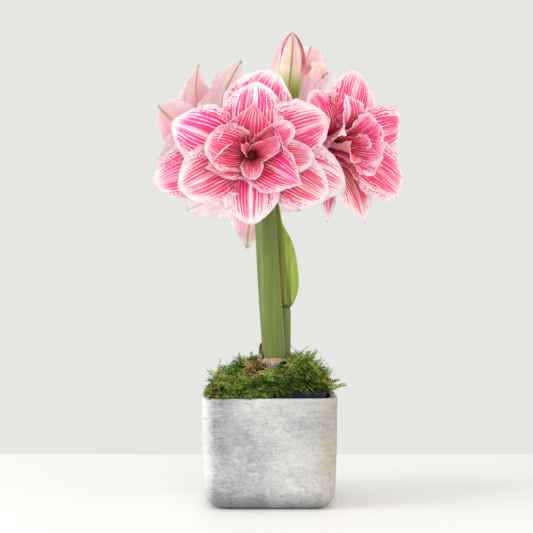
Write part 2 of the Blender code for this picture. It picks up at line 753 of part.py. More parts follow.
def moss_section(angle, draw):
    """Points round a cut through the moss, in one direction from the pot's middle."""
    outward = Vector((math.cos(angle), math.sin(angle), 0.0))
    inner = moss_wall_reach(angle) + 0.002
    rim = square_reach(POT_WIDTH / 2.0 - 0.001, POT_CORNER, angle)
    spill = moss_spill(angle)
    outer = inner + (rim - inner) * spill * draw.uniform(0.7, 1.0)
    skirt = NURSERY_TOP + 2.0 * GAP - (NURSERY_TOP - POT_HEIGHT) * spill
    dip = MOSS_DIP_DEPTH * max(0.0, math.cos(angle - MOSS_DIP)) ** 12
    hump = draw.uniform(-0.002, 0.002)
    crest = Vector((0.0, 0.0, MOSS_TOP + hump - dip))
    shoulder = neck_point(angle, MOSS_GAP + 0.005) + crest
    foot = outward * outer + Vector((0.0, 0.0, skirt + draw.uniform(0.0035, 0.006)))
    points = moss_underside(angle, outer, skirt) + [foot]
    for share in (0.12, 0.3, 0.5, 0.7, 0.87):
        bulge = 0.004 * math.sin(math.pi * share) + draw.uniform(-0.002, 0.002)
        points.append(foot.lerp(shoulder, share) + Vector((0.0, 0.0, bulge)))
    points += [shoulder, neck_point(angle, MOSS_GAP) + crest]
    return points


def moss_sprig(draw):
    """A short curved sprig, standing out of the mound."""
    angle = draw.uniform(0.0, math.tau)
    outward = Vector((math.cos(angle), math.sin(angle), 0.0))
    share = draw.uniform(0.0, 1.0) ** 0.7
    far = square_reach(POT_WIDTH / 2.0 - 0.012, POT_CORNER, angle)
    distance = SPRIG_INNER_REACH + (far - SPRIG_INNER_REACH) * share
    height = SPRIG_INNER_HEIGHT + (SPRIG_OUTER_HEIGHT - SPRIG_INNER_HEIGHT) * share
    root = outward * distance + Vector((0.0, 0.0, height)) + BULB_CENTRE * (1.0 - share)
    drift = Vector((draw.uniform(-0.6, 0.6), draw.uniform(-0.6, 0.6), draw.uniform(0.25, 0.9)))
    lean = (outward * (0.5 + share * 0.6) + drift).normalized()
    length = draw.uniform(0.010, 0.019)
    droop = Vector((0.0, 0.0, draw.uniform(-0.003, 0.001)))
    tip = root + lean * length + outward * 0.003 + droop
    thick = draw.uniform(0.0012, 0.0018)
    return tube([root, root + lean * length * 0.6, tip], [thick, thick * 0.8, 0.0003], 3)


def make_moss(material):
    """A mound of moss round the bulb's neck, over the nursery pot's rim, with sprigs."""
    draw = random.Random(11)
    bm = bmesh.new()
    sections = []
    for step in range(MOSS_SECTIONS):
        angle = math.tau * step / MOSS_SECTIONS
        sections.append([bm.verts.new(point) for point in moss_section(angle, draw)])
    for step, section in enumerate(sections):
        following = sections[(step + 1) % MOSS_SECTIONS]
        for index, vert in enumerate(section):
            ahead = (index + 1) % len(section)
            bm.faces.new((vert, section[ahead], following[ahead], following[index]))
    bmesh.ops.triangulate(bm, faces=bm.faces)
    moss = add_object("moss", bm, material)
    fuse(moss, [add_object("sprig", moss_sprig(draw)) for _ in range(MOSS_SPRIGS)])
    return moss


def main():
    """Build every piece."""
    clear_scene()
    concrete = finish("concrete", (0.56, 0.55, 0.53), 0.85)
    plastic = finish("black_plastic", (0.03, 0.035, 0.045), 0.5)
    earth = finish("potting_soil", (0.05, 0.035, 0.025), 0.95)
    skin = finish("bulb_skin", (0.42, 0.26, 0.14), 0.7)
    paper = finish("papery_tunic", (0.62, 0.32, 0.14), 0.75)
    green = finish("green_stem", (0.22, 0.34, 0.12), 0.45)
    leaf = finish("leaf_base", (0.30, 0.30, 0.12), 0.6)
    sheet_moss = finish("sheet_moss", (0.13, 0.18, 0.04), 0.95)
    petal = finish("striped_petal", (0.85, 0.25, 0.38), 0.5)
    make_pot(concrete)
    make_nursery_pot(plastic)
    make_soil(earth)
    make_bulb(skin)
    make_tunic(paper)
    make_leaf_stub("leaf_stub_front", 178.0, 34.0, LEAF_STUB_FRONT_TOP, leaf)
    make_leaf_stub("leaf_stub_rear", 130.0, 42.0, LEAF_STUB_REAR_TOP, leaf)
    make_moss(sheet_moss)
    make_flower_stem((FRONT, RIGHT, LEFT, BACK, OPENING, BUD), green)
    make_bud_stem(green)
    make_spathe_bud(green)
    make_bloom("bloom_front", FRONT, bloom_core(), FRONT_TEPALS, FRONT_PETALOIDS, petal)
    make_bloom("bloom_right", RIGHT, bloom_core(), RIGHT_TEPALS, RIGHT_PETALOIDS, petal)
    make_bloom("bloom_left", LEFT, bloom_core(), LEFT_TEPALS, (), petal)
    make_bloom("bloom_back", BACK, bloom_core(), BACK_TEPALS, (), petal)
    make_bloom("bloom_opening", OPENING, bloom_core(), OPENING_TEPALS, (), petal)
    make_bloom("flower_bud", BUD, bud_core(), BUD_TEPALS, (), petal)


if __name__ == "__main__":
    main()
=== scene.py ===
"""The looks of a potted amaryllis: petals, moss, stems and pots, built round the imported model."""

from __future__ import annotations

import logging
import math
import random
from dataclasses import dataclass
from enum import Enum
from typing import Iterable, Sequence

import bmesh
import bpy
import numpy as np
from mathutils import Euler, Matrix, Vector, noise
from mathutils.geometry import interpolate_bezier

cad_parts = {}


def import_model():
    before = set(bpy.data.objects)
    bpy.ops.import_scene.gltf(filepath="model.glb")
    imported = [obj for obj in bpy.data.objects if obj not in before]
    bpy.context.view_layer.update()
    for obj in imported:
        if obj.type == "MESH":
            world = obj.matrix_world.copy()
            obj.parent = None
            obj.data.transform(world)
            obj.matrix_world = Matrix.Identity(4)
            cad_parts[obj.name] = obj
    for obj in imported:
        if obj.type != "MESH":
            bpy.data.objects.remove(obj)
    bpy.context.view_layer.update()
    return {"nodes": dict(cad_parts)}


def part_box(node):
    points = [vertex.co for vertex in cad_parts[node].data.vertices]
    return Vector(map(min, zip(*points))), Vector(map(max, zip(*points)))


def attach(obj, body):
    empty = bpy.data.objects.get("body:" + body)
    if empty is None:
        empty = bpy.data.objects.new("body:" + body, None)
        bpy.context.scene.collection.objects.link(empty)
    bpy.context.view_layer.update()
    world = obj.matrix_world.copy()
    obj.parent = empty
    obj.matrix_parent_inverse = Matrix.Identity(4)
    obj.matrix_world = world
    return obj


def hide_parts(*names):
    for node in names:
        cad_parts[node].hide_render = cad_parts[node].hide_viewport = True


LOG = logging.getLogger("amaryllis")
ROOT = "root"
MERGE = 1e-6
UP = Vector((0.0, 0.0, 1.0))
EASED = {"interpolation_type": "SMOOTHSTEP"}


def linear(hex_code: str) -> tuple[float, float, float, float]:
    """Turn an sRGB hex colour into the linear one that shaders take.

    Args:
        hex_code: The colour as #RRGGBB.

    Returns:
        Red, green, blue and an alpha of 1.
    """
    bright = []
    for start in (1, 3, 5):
        value = int(hex_code[start:start + 2], 16) / 255.0
        bright.append(value / 12.92 if value <= 0.04045 else ((value + 0.055) / 1.055) ** 2.4)
    return (bright[0], bright[1], bright[2], 1.0)


class Graph:
    """The node tree of one finish, ending in a Principled shader."""

    def __init__(self, name: str, **surface: object) -> None:
        """Start a material.

        Args:
            name: The finish's name.
            surface: Values for the shader's own sockets, with _ for each space in their names.
        """
        self.material = bpy.data.materials.new(name)
        self.material.use_nodes = True
        self.tree = self.material.node_tree
        self.shader = self.tree.nodes["Principled BSDF"]
        for socket, value in surface.items():
            self.shader.inputs[socket.replace("_", " ")].default_value = value

    def add(
        self,
        kind: str,
        inputs: dict[int | str, object],
        operation: str = "",
        stops: Sequence[tuple[float, str]] = (),
        **settings: object,
    ) -> bpy.types.Node:
        """Add a node with its settings and links.

        Args:
            kind: The node's type, without ShaderNode.
            inputs: A value, a socket, or a node whose first output is meant, for each input.
            operation: What a maths node does.
            stops: Place and hex colour of each stop, for a colour ramp.
            settings: The node's own properties.

        Returns:
            The new node.
        """
        node = self.tree.nodes.new("ShaderNode" + kind)
        if operation:
            node.operation = operation
        for setting, value in settings.items():
            setattr(node, setting, value)
        for position, (place, hex_code) in enumerate(stops):
            elements = node.color_ramp.elements
            element = elements[position] if position < len(elements) else elements.new(place)
            element.position = place
            element.color = linear(hex_code)
        for key, value in inputs.items():
            source = value.outputs[0] if isinstance(value, bpy.types.Node) else value
            if isinstance(source, bpy.types.NodeSocket):
                self.tree.links.new(source, node.inputs[key])
            else:
                node.inputs[key].default_value = source
        return node

    def finish(
        self, colour: bpy.types.Node, rough: object = None, bump: object = None
    ) -> bpy.types.Material:
        """Wire the colour, and roughness and bump where there are any, into the shader.

        Args:
            colour: The node that gives the colour.
            rough: The node that gives the roughness.
            bump: The node that gives the normal.

        Returns:
            The finished material.
        """
        for socket, node in (("Base Color", colour), ("Roughness", rough), ("Normal", bump)):
            if node is not None:
                self.tree.links.new(node.outputs[0], self.shader.inputs[socket])
        return self.material


class Side(Enum):
    """The side of a petal that a finish is for."""

    FACE = "petal_face"
    BACK = "petal_back"
    BUD = "bud_petal_back"


@dataclass(frozen=True)
class StripedPetal:
    """Living petal, grown thin and smooth: red veins under a white skin that light passes through.

    The veins widen and narrow with the petal, so their number across it is given, which sets them
    about 3 mm apart at the middle. Their flecks are too fine to show and are drawn coarser.
    """

    side: Side
    veins: float = 9.0
    flecks: tuple[tuple[float, float, float], ...] = ((13.0, 1.4, 1.5), (38.0, 4.5, 1.7))
    rib: float = 0.10
    throat: str = "#A80F2E"
    red: str = "#CF1A44"
    pink: str = "#EA3476"
    rose: str = "#F562A0"
    coral: str = "#E04C5E"
    pale_coral: str = "#F2949C"
    blush: str = "#FBB8D0"
    skin: str = "#FFF6F9"
    back_blush: str = "#F6C3CF"
    back_skin: str = "#FFF8F5"
    olive: str = "#9A8F45"
    warm_red: str = "#CC2E3C"
    back_vein: str = "#F47C9F"
    bud_vein: str = "#DB5470"
    bud_rim: str = "#DC4468"
    bud_flush: str = "#DC4570"
    bud_skin: tuple[tuple[float, str], ...] = (
        (0.36, "#86963A"), (0.48, "#C2BF84"), (0.60, "#F4EAD4"), (0.80, "#FCE2DA"), (1.00, "#F0B9B8"),
    )

    def stripes(
        self, graph: Graph, across: object, along: object, edge: object, rich: object, seed: object
    ) -> tuple[bpy.types.Node, bpy.types.Node]:
        """Draw the veins: red bands side by side that break into flecks towards the margin.

        Args:
            graph: The finish's nodes.
            across: The place across the petal, -1 to 1.
            along: The place along it, 0 to 1.
            edge: The share of the way from midrib to margin.
            rich: How much red the petal has.
            seed: What makes the petal its own.

        Returns:
            How red each point is, and the veins' relief.
        """
        add = graph.add
        shift = add("Math", {0: seed, 1: 37.0}, "MULTIPLY")
        broad = add("CombineXYZ", {0: across, 1: along, 2: shift})
        drift = add("TexNoise", {"Vector": broad, "Scale": 2.4, "Detail": 2.0})
        wander = add("Math", {0: drift, 1: 0.14, 2: across}, "MULTIPLY_ADD")
        turns = add("Math", {0: wander, 1: self.veins * math.tau}, "MULTIPLY")
        wave = add("Math", {0: turns}, "SINE")
        signal = add("Math", {0: wave, 1: 0.11}, "MULTIPLY")
        for wide, long, weight in self.flecks:
            step_x = add("Math", {0: wander, 1: wide}, "MULTIPLY")
            step_y = add("Math", {0: along, 1: long}, "MULTIPLY")
            place = add("CombineXYZ", {0: step_x, 1: step_y, 2: shift})
            streak = add("TexNoise", {"Vector": place, "Scale": 1.0, "Detail": 2.0, "Roughness": 0.6})
            centred = add("Math", {0: streak, 1: 0.5}, "SUBTRACT")
            signal = add("Math", {0: centred, 1: weight, 2: signal}, "MULTIPLY_ADD")
        patch = add("TexNoise", {"Vector": broad, "Scale": 3.4, "Detail": 1.0})
        patch = add("Math", {0: patch, 1: 0.5}, "SUBTRACT")
        lengthwise = add("MapRange", {0: along, 1: 0.25, 2: 1.0, 3: 0.68, 4: -0.04})
        outward = add("MapRange", {0: edge, 1: 0.45, 2: 1.0, 3: 0.0, 4: 0.36})
        bias = add("Math", {0: lengthwise, 1: outward}, "SUBTRACT")
        bias = add("Math", {0: patch, 1: 0.75, 2: bias}, "MULTIPLY_ADD")
        richer = add("Math", {0: rich, 1: 0.62}, "SUBTRACT")
        bias = add("Math", {0: richer, 1: 1.1, 2: bias}, "MULTIPLY_ADD")
        level = add("Math", {0: signal, 1: bias}, "ADD")
        # white specks crowd in where the margin is frilled
        speck_at = add("VectorMath", {0: broad, 1: (34.0, 46.0, 1.0)}, "MULTIPLY")
        speck = add("TexNoise", {"Vector": speck_at, "Scale": 1.0, "Detail": 1.0})
        speck = add("MapRange", {0: speck, 1: 0.42, 2: 0.64, 3: 0.0, 4: -0.90})
        outer = add("MapRange", {0: edge, 1: 0.38, 2: 0.92})
        level = add("Math", {0: speck, 1: outer, 2: level}, "MULTIPLY_ADD")
        striped = add("MapRange", {0: level, 1: -0.24, 2: 0.24}, **EASED)
        # thin pale lines run between the veins, also where the red is deepest
        trough = add("Math", {0: centred, 1: 5.5, 2: wave}, "MULTIPLY_ADD")
        line = add("MapRange", {0: trough, 1: -1.25, 2: -0.5, 3: 0.22, 4: 1.0}, **EASED)
        striped = add("Math", {0: striped, 1: line}, "MULTIPLY")
        # the red frays out before both margins and, less sharply, before the tip
        for way, ragged, end, least in ((edge, 0.45, 0.99, 0.0), (along, 0.16, 0.98, 0.15)):
            frayed = add("Math", {0: centred, 1: ragged, 2: way}, "MULTIPLY_ADD")
            margin = add("MapRange", {0: frayed, 1: 0.88, 2: end, 3: 1.0, 4: least}, **EASED)
            striped = add("Math", {0: striped, 1: margin}, "MULTIPLY")
        return striped, signal

    def build(self) -> bpy.types.Material:
        """Make the material, which reads where it is on the petal from the mesh's attributes.

        Returns:
            The material.
        """
        graph = Graph(
            self.side.value,
            Roughness=0.5,
            IOR=1.4,
            Specular_IOR_Level=0.2,
            Subsurface_Weight=0.35,
            Subsurface_Radius=(1.0, 0.6, 0.7),
            Subsurface_Scale=0.003,
        )
        add = graph.add
        ways = add("Attribute", {}, attribute_name="petal_way").outputs["Vector"]
        across, along, edge = add("SeparateXYZ", {0: ways}).outputs
        tones = add("Attribute", {}, attribute_name="petal_tone").outputs["Vector"]
        rich, coral, green = add("SeparateXYZ", {0: tones}).outputs
        owns = add("Attribute", {}, attribute_name="petal_own").outputs["Vector"]
        seed, bold, _ = add("SeparateXYZ", {0: owns}).outputs
        striped, relief = self.stripes(graph, across, along, edge, rich, seed)
        # the midrib stays white outside the throat
        off = add("Math", {0: across}, "ABSOLUTE")
        soft = add("Math", {0: relief, 1: 0.05, 2: off}, "MULTIPLY_ADD")
        ribbed = add("MapRange", {0: soft, 1: self.rib * 0.35, 2: self.rib}, **EASED)
        deep = add("MapRange", {0: along, 1: 0.30, 2: 0.60, 3: 1.0, 4: 0.10}, **EASED)
        ribbed = add("Math", {0: ribbed, 1: deep}, "MAXIMUM")
        unribbed = add("Math", {0: 1.0, 1: ribbed}, "SUBTRACT")
        ribbed = add("Math", {0: unribbed, 1: bold}, "MULTIPLY")
        ribbed = add("Math", {0: 1.0, 1: ribbed}, "SUBTRACT")
        amount = add("Math", {0: striped, 1: ribbed}, "MULTIPLY")
        keel = add("MapRange", {0: off, 1: 0.02, 2: 0.12, 3: 1.0, 4: 0.0}, **EASED)
        tip = add("MapRange", {0: along, 1: 0.955, 2: 0.985}, **EASED)
        if self.side is Side.FACE:
            stops = ((0.10, self.throat), (0.34, self.red), (0.62, self.pink), (1.0, self.rose))
            tint = add("ValToRGB", {0: along}, stops=stops)
            stops = ((0.10, self.throat), (0.36, self.warm_red), (0.66, self.coral), (1.0, self.pale_coral))
            warm = add("ValToRGB", {0: along}, stops=stops)
            tint = add("MixRGB", {0: coral, 1: tint, 2: warm})
            fading = add("MapRange", {0: along, 1: 0.25, 2: 0.95, 3: 0.9, 4: 0.16})
            fading = add("Math", {0: fading, 1: ribbed}, "MULTIPLY")
            wash = add("MixRGB", {0: fading, 1: linear(self.skin), 2: linear(self.blush)})
            colour = add("MixRGB", {0: amount, 1: wash, 2: tint})
            into = add("MapRange", {0: along, 1: 0.12, 2: 0.38, 3: 0.9, 4: 0.0}, **EASED)
            colour = add("MixRGB", {0: into, 1: colour, 2: linear(self.throat)})
            spot = add("Math", {0: tip, 1: green}, "MULTIPLY")
            colour = add("MixRGB", {0: spot, 1: colour, 2: linear(self.olive)})
        elif self.side is Side.BACK:
            strong = add("MapRange", {0: rich, 1: 0.5, 2: 1.0, 3: 0.12, 4: 0.80})
            faint = add("Math", {0: amount, 1: strong}, "MULTIPLY")
            wash = add("MixRGB", {0: ribbed, 1: linear(self.back_skin), 2: linear(self.back_blush)})
            pale = add("MapRange", {0: along, 1: 0.2, 2: 0.9, 3: 0.25, 4: 0.85})
            wash = add("MixRGB", {0: pale, 1: wash, 2: linear(self.back_skin)})
            colour = add("MixRGB", {0: faint, 1: wash, 2: linear(self.back_vein)})
            outer = add("MapRange", {0: along, 1: 0.45, 2: 0.9, 3: 0.12, 4: 1.0})
            ridge = add("Math", {0: keel, 1: outer}, "MULTIPLY")
            ridge = add("Math", {0: ridge, 1: tip}, "MAXIMUM")
            ridge = add("Math", {0: ridge, 1: green}, "MULTIPLY")
            colour = add("MixRGB", {0: ridge, 1: colour, 2: linear(self.olive)})
        else:
            skin = add("ValToRGB", {0: along}, stops=self.bud_skin)
            drawn = add("Math", {0: amount, 1: 0.40}, "MULTIPLY")
            upper = add("MapRange", {0: along, 1: 0.44, 2: 0.70}, **EASED)
            drawn = add("Math", {0: drawn, 1: upper}, "MULTIPLY")
            colour = add("MixRGB", {0: drawn, 1: skin, 2: linear(self.bud_vein)})
            rim = add("MapRange", {0: edge, 1: 0.90, 2: 0.97, 4: 0.8}, **EASED)
            rim = add("Math", {0: rim, 1: upper}, "MULTIPLY")
            colour = add("MixRGB", {0: rim, 1: colour, 2: linear(self.bud_rim)})
            flushed = add("Math", {0: coral, 1: upper}, "MULTIPLY")
            colour = add("MixRGB", {0: flushed, 1: colour, 2: linear(self.bud_flush)})
            ridge = add("Math", {0: keel, 1: green}, "MULTIPLY")
            colour = add("MixRGB", {0: ridge, 1: colour, 2: linear(self.olive)})
        bump = add("Bump", {"Height": relief, "Strength": 0.5, "Distance": 0.0005})
        return graph.finish(colour, bump=bump)


@dataclass(frozen=True)
class GrownGreen:
    """Fleshy green stem, grown smooth under a thin bloom of wax: fine streaks run up it."""

    name: str
    pale: str
    deep: str
    waxy: str
    # real streaks lie half a millimetre apart, too close to show
    streak_mm: float = 1.6

    def build(self) -> bpy.types.Material:
        """Make the material, streaked along Z in Object coordinates.

        Returns:
            The material.
        """
        graph = Graph(
            self.name, Roughness=0.42, IOR=1.45, Subsurface_Weight=0.12, Subsurface_Scale=0.002,
            Coat_Weight=0.08, Coat_Roughness=0.35,
        )
        add = graph.add
        place = add("TexCoord", {}).outputs["Object"]
        fine = 1000.0 / self.streak_mm
        stretch = add("Mapping", {"Vector": place, "Scale": (fine, fine, fine / 45.0)})
        streak = add("TexNoise", {"Vector": stretch, "Scale": 0.5, "Detail": 3.0, "Roughness": 0.55})
        cloud = add("TexNoise", {"Vector": place, "Scale": 22.0, "Detail": 2.0})
        mixed = add("Math", {0: cloud, 1: 0.45, 2: streak}, "MULTIPLY_ADD")
        colour = add("ValToRGB", {0: mixed}, stops=((0.42, self.deep), (0.74, self.pale), (1.0, self.waxy)))
        bump = add("Bump", {"Height": streak, "Strength": 0.18, "Distance": 0.0004})
        rough = add("MapRange", {0: streak, 3: 0.36, 4: 0.52})
        return graph.finish(colour, rough, bump)


@dataclass(frozen=True)
class CastConcrete:
    """Cement cast in a mould and left raw: lime bloom over grey, trowel marks, hair cracks and pores, with a
    painted highlight on the left corner, painted shade at the foot and a warm tan on the right that is
    partly painted shade.
    """

    name: str = "cast_concrete"
    bloom: str = "#D5D6D6"
    light: str = "#BFBFBF"
    grey: str = "#A5A6A8"
    dark: str = "#7F8185"
    warm: str = "#B4A28E"
    crack: str = "#5E6063"
    # a darker left side, a lighter left corner that is partly lime bloom and partly a painted highlight
    # where the window light strikes, and a foot darkened as painted shade where it turns under
    zones: tuple[tuple[str, float, float, float], ...] = (
        ("X", -0.052, -0.016, -0.10),
        ("X", -0.074, -0.060, 0.42),
        ("Z", 0.003, 0.026, -0.16),
    )
    cloud_mm: float = 60.0
    trowel_mm: float = 9.0
    # sand, scores and pores are drawn two or three times their real size, so that they show
    grit_mm: float = 2.2
    score_mm: float = 3.0
    pore_mm: float = 1.4

    def build(self) -> bpy.types.Material:
        """Make the material, in Object coordinates.

        Returns:
            The material.
        """
        graph = Graph(self.name, Roughness=0.85, IOR=1.5, Specular_IOR_Level=0.3)
        add = graph.add
        place = add("TexCoord", {}).outputs["Object"]
        spot = add("SeparateXYZ", {0: place})
        cloud = add("TexNoise", {"Vector": place, "Scale": 1000.0 / self.cloud_mm, "Detail": 4.0})
        level = add("Mapping", {"Vector": place, "Scale": (0.55, 0.55, 1.5), "Rotation": (0.0, 0.09, 0.0)})
        marks = {"Scale": 1000.0 / self.trowel_mm, "Detail": 9.0, "Roughness": 0.78, "Distortion": 0.8}
        trowel = add("TexNoise", {"Vector": level, **marks})
        upright = add("Mapping", {"Vector": place, "Scale": (1.3, 1.3, 0.55), "Rotation": (0.0, 0.12, 0.0)})
        drag = add("TexNoise", {"Vector": upright, **marks})
        grit = add("TexNoise", {"Vector": place, "Scale": 1000.0 / self.grit_mm, "Detail": 2.0})
        scored = add("Mapping", {"Vector": place, "Scale": (0.22, 0.22, 1.4), "Rotation": (0.0, -0.05, 0.0)})
        scores = {"Scale": 1000.0 / self.score_mm, "Detail": 5.0, "Roughness": 0.7}
        score = add("TexNoise", {"Vector": scored, **scores})
        mixed = add("Math", {0: cloud, 1: 0.62}, "MULTIPLY")
        for pattern, weight in ((trowel, 0.46), (drag, 0.36), (grit, 0.16), (score, 0.34)):
            mixed = add("Math", {0: pattern, 1: weight, 2: mixed}, "MULTIPLY_ADD")
        # the zones paint a highlight on the left corner and shade round the foot
        for axis, start, end, tone in self.zones:
            zone = add("MapRange", {0: spot.outputs[axis], 1: start, 2: end, 3: tone, 4: 0.0})
            mixed = add("Math", {0: mixed, 1: zone}, "ADD")
        scaled = add("MapRange", {0: mixed, 1: 0.76, 2: 1.24})
        stops = ((0.0, self.dark), (0.30, self.grey), (0.56, self.light), (1.0, self.bloom))
        colour = add("ValToRGB", {0: scaled}, stops=stops)
        # the right side turns warm tan along the trowel marks: partly the concrete's own tone, partly
        # painted shade of the side away from the window
        side = add("MapRange", {0: spot.outputs["X"], 1: 0.035, 2: 0.076}, **EASED)
        side = add("Math", {0: side, 1: trowel}, "MULTIPLY")
        colour = add("MixRGB", {0: side, 1: colour, 2: linear(self.warm)})
        bend = add("TexNoise", {"Vector": place, "Scale": 30.0, "Detail": 5.0, "Roughness": 0.65})
        bend = add("Math", {0: bend, 1: 0.5}, "SUBTRACT")
        bend = add("Math", {0: bend}, "ABSOLUTE")
        thin = add("MapRange", {0: bend, 1: 0.002, 2: 0.011, 3: 1.0, 4: 0.0})
        some = add("MapRange", {0: drag, 1: 0.50, 2: 0.56}, **EASED)
        cracked = add("Math", {0: thin, 1: some}, "MULTIPLY")
        cracked = add("Math", {0: cracked, 1: 0.65}, "MULTIPLY")
        colour = add("MixRGB", {0: cracked, 1: colour, 2: linear(self.crack)})
        pore = add("TexVoronoi", {"Vector": place, "Scale": 1000.0 / (4.0 * self.pore_mm)})
        pitted = add("MapRange", {0: pore.outputs["Distance"], 1: 0.05, 2: 0.14, 3: 0.7, 4: 0.0})
        rare = add("MapRange", {0: trowel, 1: 0.50, 2: 0.58})
        pitted = add("Math", {0: pitted, 1: rare}, "MULTIPLY")
        colour = add("MixRGB", {0: pitted, 1: colour, 2: linear(self.crack)})
        relief = add("Math", {0: pitted, 1: -0.6, 2: mixed}, "MULTIPLY_ADD")
        relief = add("Math", {0: cracked, 1: -0.5, 2: relief}, "MULTIPLY_ADD")
        bump = add("Bump", {"Height": relief, "Strength": 0.5, "Distance": 0.0009})
        rough = add("MapRange", {0: trowel, 3: 0.78, 4: 0.95})
        return graph.finish(colour, rough, bump)


@dataclass(frozen=True)
class MouldedPlastic:
    """Thin polypropylene, moulded nearly black: a faint grain and a cool dull shine."""

    name: str = "moulded_plastic"
    colour: str = "#080C22"
    worn: str = "#161C38"
    # the mould's grain is a few tenths of a millimetre, and is drawn coarser to show
    grain_mm: float = 2.0

    def build(self) -> bpy.types.Material:
        """Make the material, in Object coordinates.

        Returns:
            The material.
        """
        graph = Graph(self.name, Roughness=0.5, IOR=1.49, Specular_IOR_Level=0.3)
        add = graph.add
        place = add("TexCoord", {}).outputs["Object"]
        grain = add("TexNoise", {"Vector": place, "Scale": 1000.0 / self.grain_mm, "Detail": 3.0})
        scuff = add("TexNoise", {"Vector": place, "Scale": 40.0, "Detail": 5.0})
        colour = add("ValToRGB", {0: scuff}, stops=((0.45, self.colour), (0.75, self.worn)))
        bump = add("Bump", {"Height": grain, "Strength": 0.1, "Distance": 0.0003})
        rough = add("MapRange", {0: scuff, 3: 0.45, 4: 0.65})
        return graph.finish(colour, rough, bump)


@dataclass(frozen=True)
class Crumbly:
    """Damp potting soil, and the moss mat drawn near black as painted shade between the shoots: dark crumbs
    with lighter fibres between them.
    """

    name: str
    dark: str
    light: str
    crumb_mm: float = 3.0

    def build(self) -> bpy.types.Material:
        """Make the material, in Object coordinates.

        Returns:
            The material.
        """
        graph = Graph(self.name, Roughness=0.95, Specular_IOR_Level=0.2)
        add = graph.add
        place = add("TexCoord", {}).outputs["Object"]
        fine = 1000.0 / self.crumb_mm
        crumb = add("TexNoise", {"Vector": place, "Scale": fine, "Detail": 6.0, "Roughness": 0.7})
        colour = add("ValToRGB", {0: crumb}, stops=((0.4, self.dark), (0.7, self.light)))
        bump = add("Bump", {"Height": crumb, "Strength": 0.9, "Distance": 0.0015})
        return graph.finish(colour, bump=bump)


@dataclass(frozen=True)
class PaperySkin:
    """Dried outer scales of the bulb: thin, brittle and streaked along their veins."""

    name: str
    pale: str
    mid: str
    dark: str
    # real veins lie half a millimetre apart, too close to show
    vein_mm: float = 1.2

    def build(self) -> bpy.types.Material:
        """Make the material, streaked along Z in Object coordinates.

        Returns:
            The material.
        """
        graph = Graph(self.name, Roughness=0.6, IOR=1.45, Subsurface_Weight=0.15, Subsurface_Scale=0.0015)
        add = graph.add
        place = add("TexCoord", {}).outputs["Object"]
        fine = 1000.0 / self.vein_mm
        stretch = add("Mapping", {"Vector": place, "Scale": (fine, fine, fine / 14.0)})
        streak = add("TexNoise", {"Vector": stretch, "Scale": 0.5, "Detail": 4.0, "Roughness": 0.65})
        colour = add("ValToRGB", {0: streak}, stops=((0.34, self.dark), (0.5, self.mid), (0.66, self.pale)))
        bump = add("Bump", {"Height": streak, "Strength": 0.5, "Distance": 0.0004})
        return graph.finish(colour, bump=bump)


@dataclass(frozen=True)
class MossLeaf:
    """Living and dried moss leaves: from a shaded green that is painted shade, through grown green and a
    young green that is partly a painted highlight, to olive, straw and brown by the shoot's age; each shoot
    also carries its own painted light and shade.
    """

    name: str = "moss_leaf"
    young_and_lit: str = "#7FA838"
    grown: str = "#4D7420"
    shaded: str = "#2E4814"
    old: str = "#8A8138"
    straw: str = "#BFA266"
    brown: str = "#74502E"

    def build(self) -> bpy.types.Material:
        """Make the material, which reads each shoot's age and its painted light and shade from the mesh's
        attribute.

        Returns:
            The material.
        """
        graph = Graph(self.name, Roughness=0.6, IOR=1.4, Specular_IOR_Level=0.35)
        add = graph.add
        age = add("SeparateXYZ", {0: add("Attribute", {}, attribute_name="shoot").outputs["Vector"]})
        # the lowest stop is a painted shade, and the young green is fresh growth drawn in the colour of lit
        # tips, partly a painted highlight
        stops = (
            (0.0, self.shaded), (0.22, self.grown), (0.42, self.young_and_lit),
            (0.60, self.old), (0.80, self.straw), (1.0, self.brown),
        )
        colour = add("ValToRGB", {0: age.outputs["X"]}, stops=stops)
        # painted light and shade: each shoot is darkened or brightened by its own drawn factor
        lit = add("MapRange", {0: age.outputs["Y"], 3: 0.35, 4: 1.45})
        colour = add("MixRGB", {0: 1.0, 1: colour, 2: lit}, blend_type="MULTIPLY")
        return graph.finish(colour)


@dataclass(frozen=True)
class SpatheLeaf:
    """Leafy spathe, grown tight round its buds: olive on the shaded valve, fresh green on the other."""

    name: str = "spathe_leaf"
    olive: str = "#80851C"
    dull: str = "#5F6616"
    fresh: str = "#98B034"
    deep: str = "#76921F"
    collar: str = "#3B3A18"
    # coarser than the real veins, as on the stems
    streak_mm: float = 1.4

    def build(self) -> bpy.types.Material:
        """Make the material: the valves part where Object X crosses the seam.

        Returns:
            The material.
        """
        graph = Graph(self.name, Roughness=0.4, IOR=1.45, Subsurface_Weight=0.1, Subsurface_Scale=0.002)
        add = graph.add
        place = add("TexCoord", {}).outputs["Object"]
        spot = add("SeparateXYZ", {0: place})
        fine = 1000.0 / self.streak_mm
        stretch = add("Mapping", {"Vector": place, "Scale": (fine, fine, fine / 40.0)})
        streak = add("TexNoise", {"Vector": stretch, "Scale": 0.5, "Detail": 3.0})
        lean = add("Math", {0: spot.outputs["Z"], 1: 0.133, 2: spot.outputs["X"]}, "MULTIPLY_ADD")
        valve = add("MapRange", {0: lean, 1: 0.0545, 2: 0.0560}, **EASED)
        shade = add("ValToRGB", {0: streak}, stops=((0.35, self.deep), (0.62, self.fresh)))
        dull = add("ValToRGB", {0: streak}, stops=((0.35, self.dull), (0.62, self.olive)))
        colour = add("MixRGB", {0: valve, 1: dull, 2: shade})
        low = add("MapRange", {0: spot.outputs["Z"], 1: 0.2200, 2: 0.2232, 3: 1.0, 4: 0.0})
        colour = add("MixRGB", {0: low, 1: colour, 2: linear(self.collar)})
        bump = add("Bump", {"Height": streak, "Strength": 0.2, "Distance": 0.0004})
        return graph.finish(colour, bump=bump)


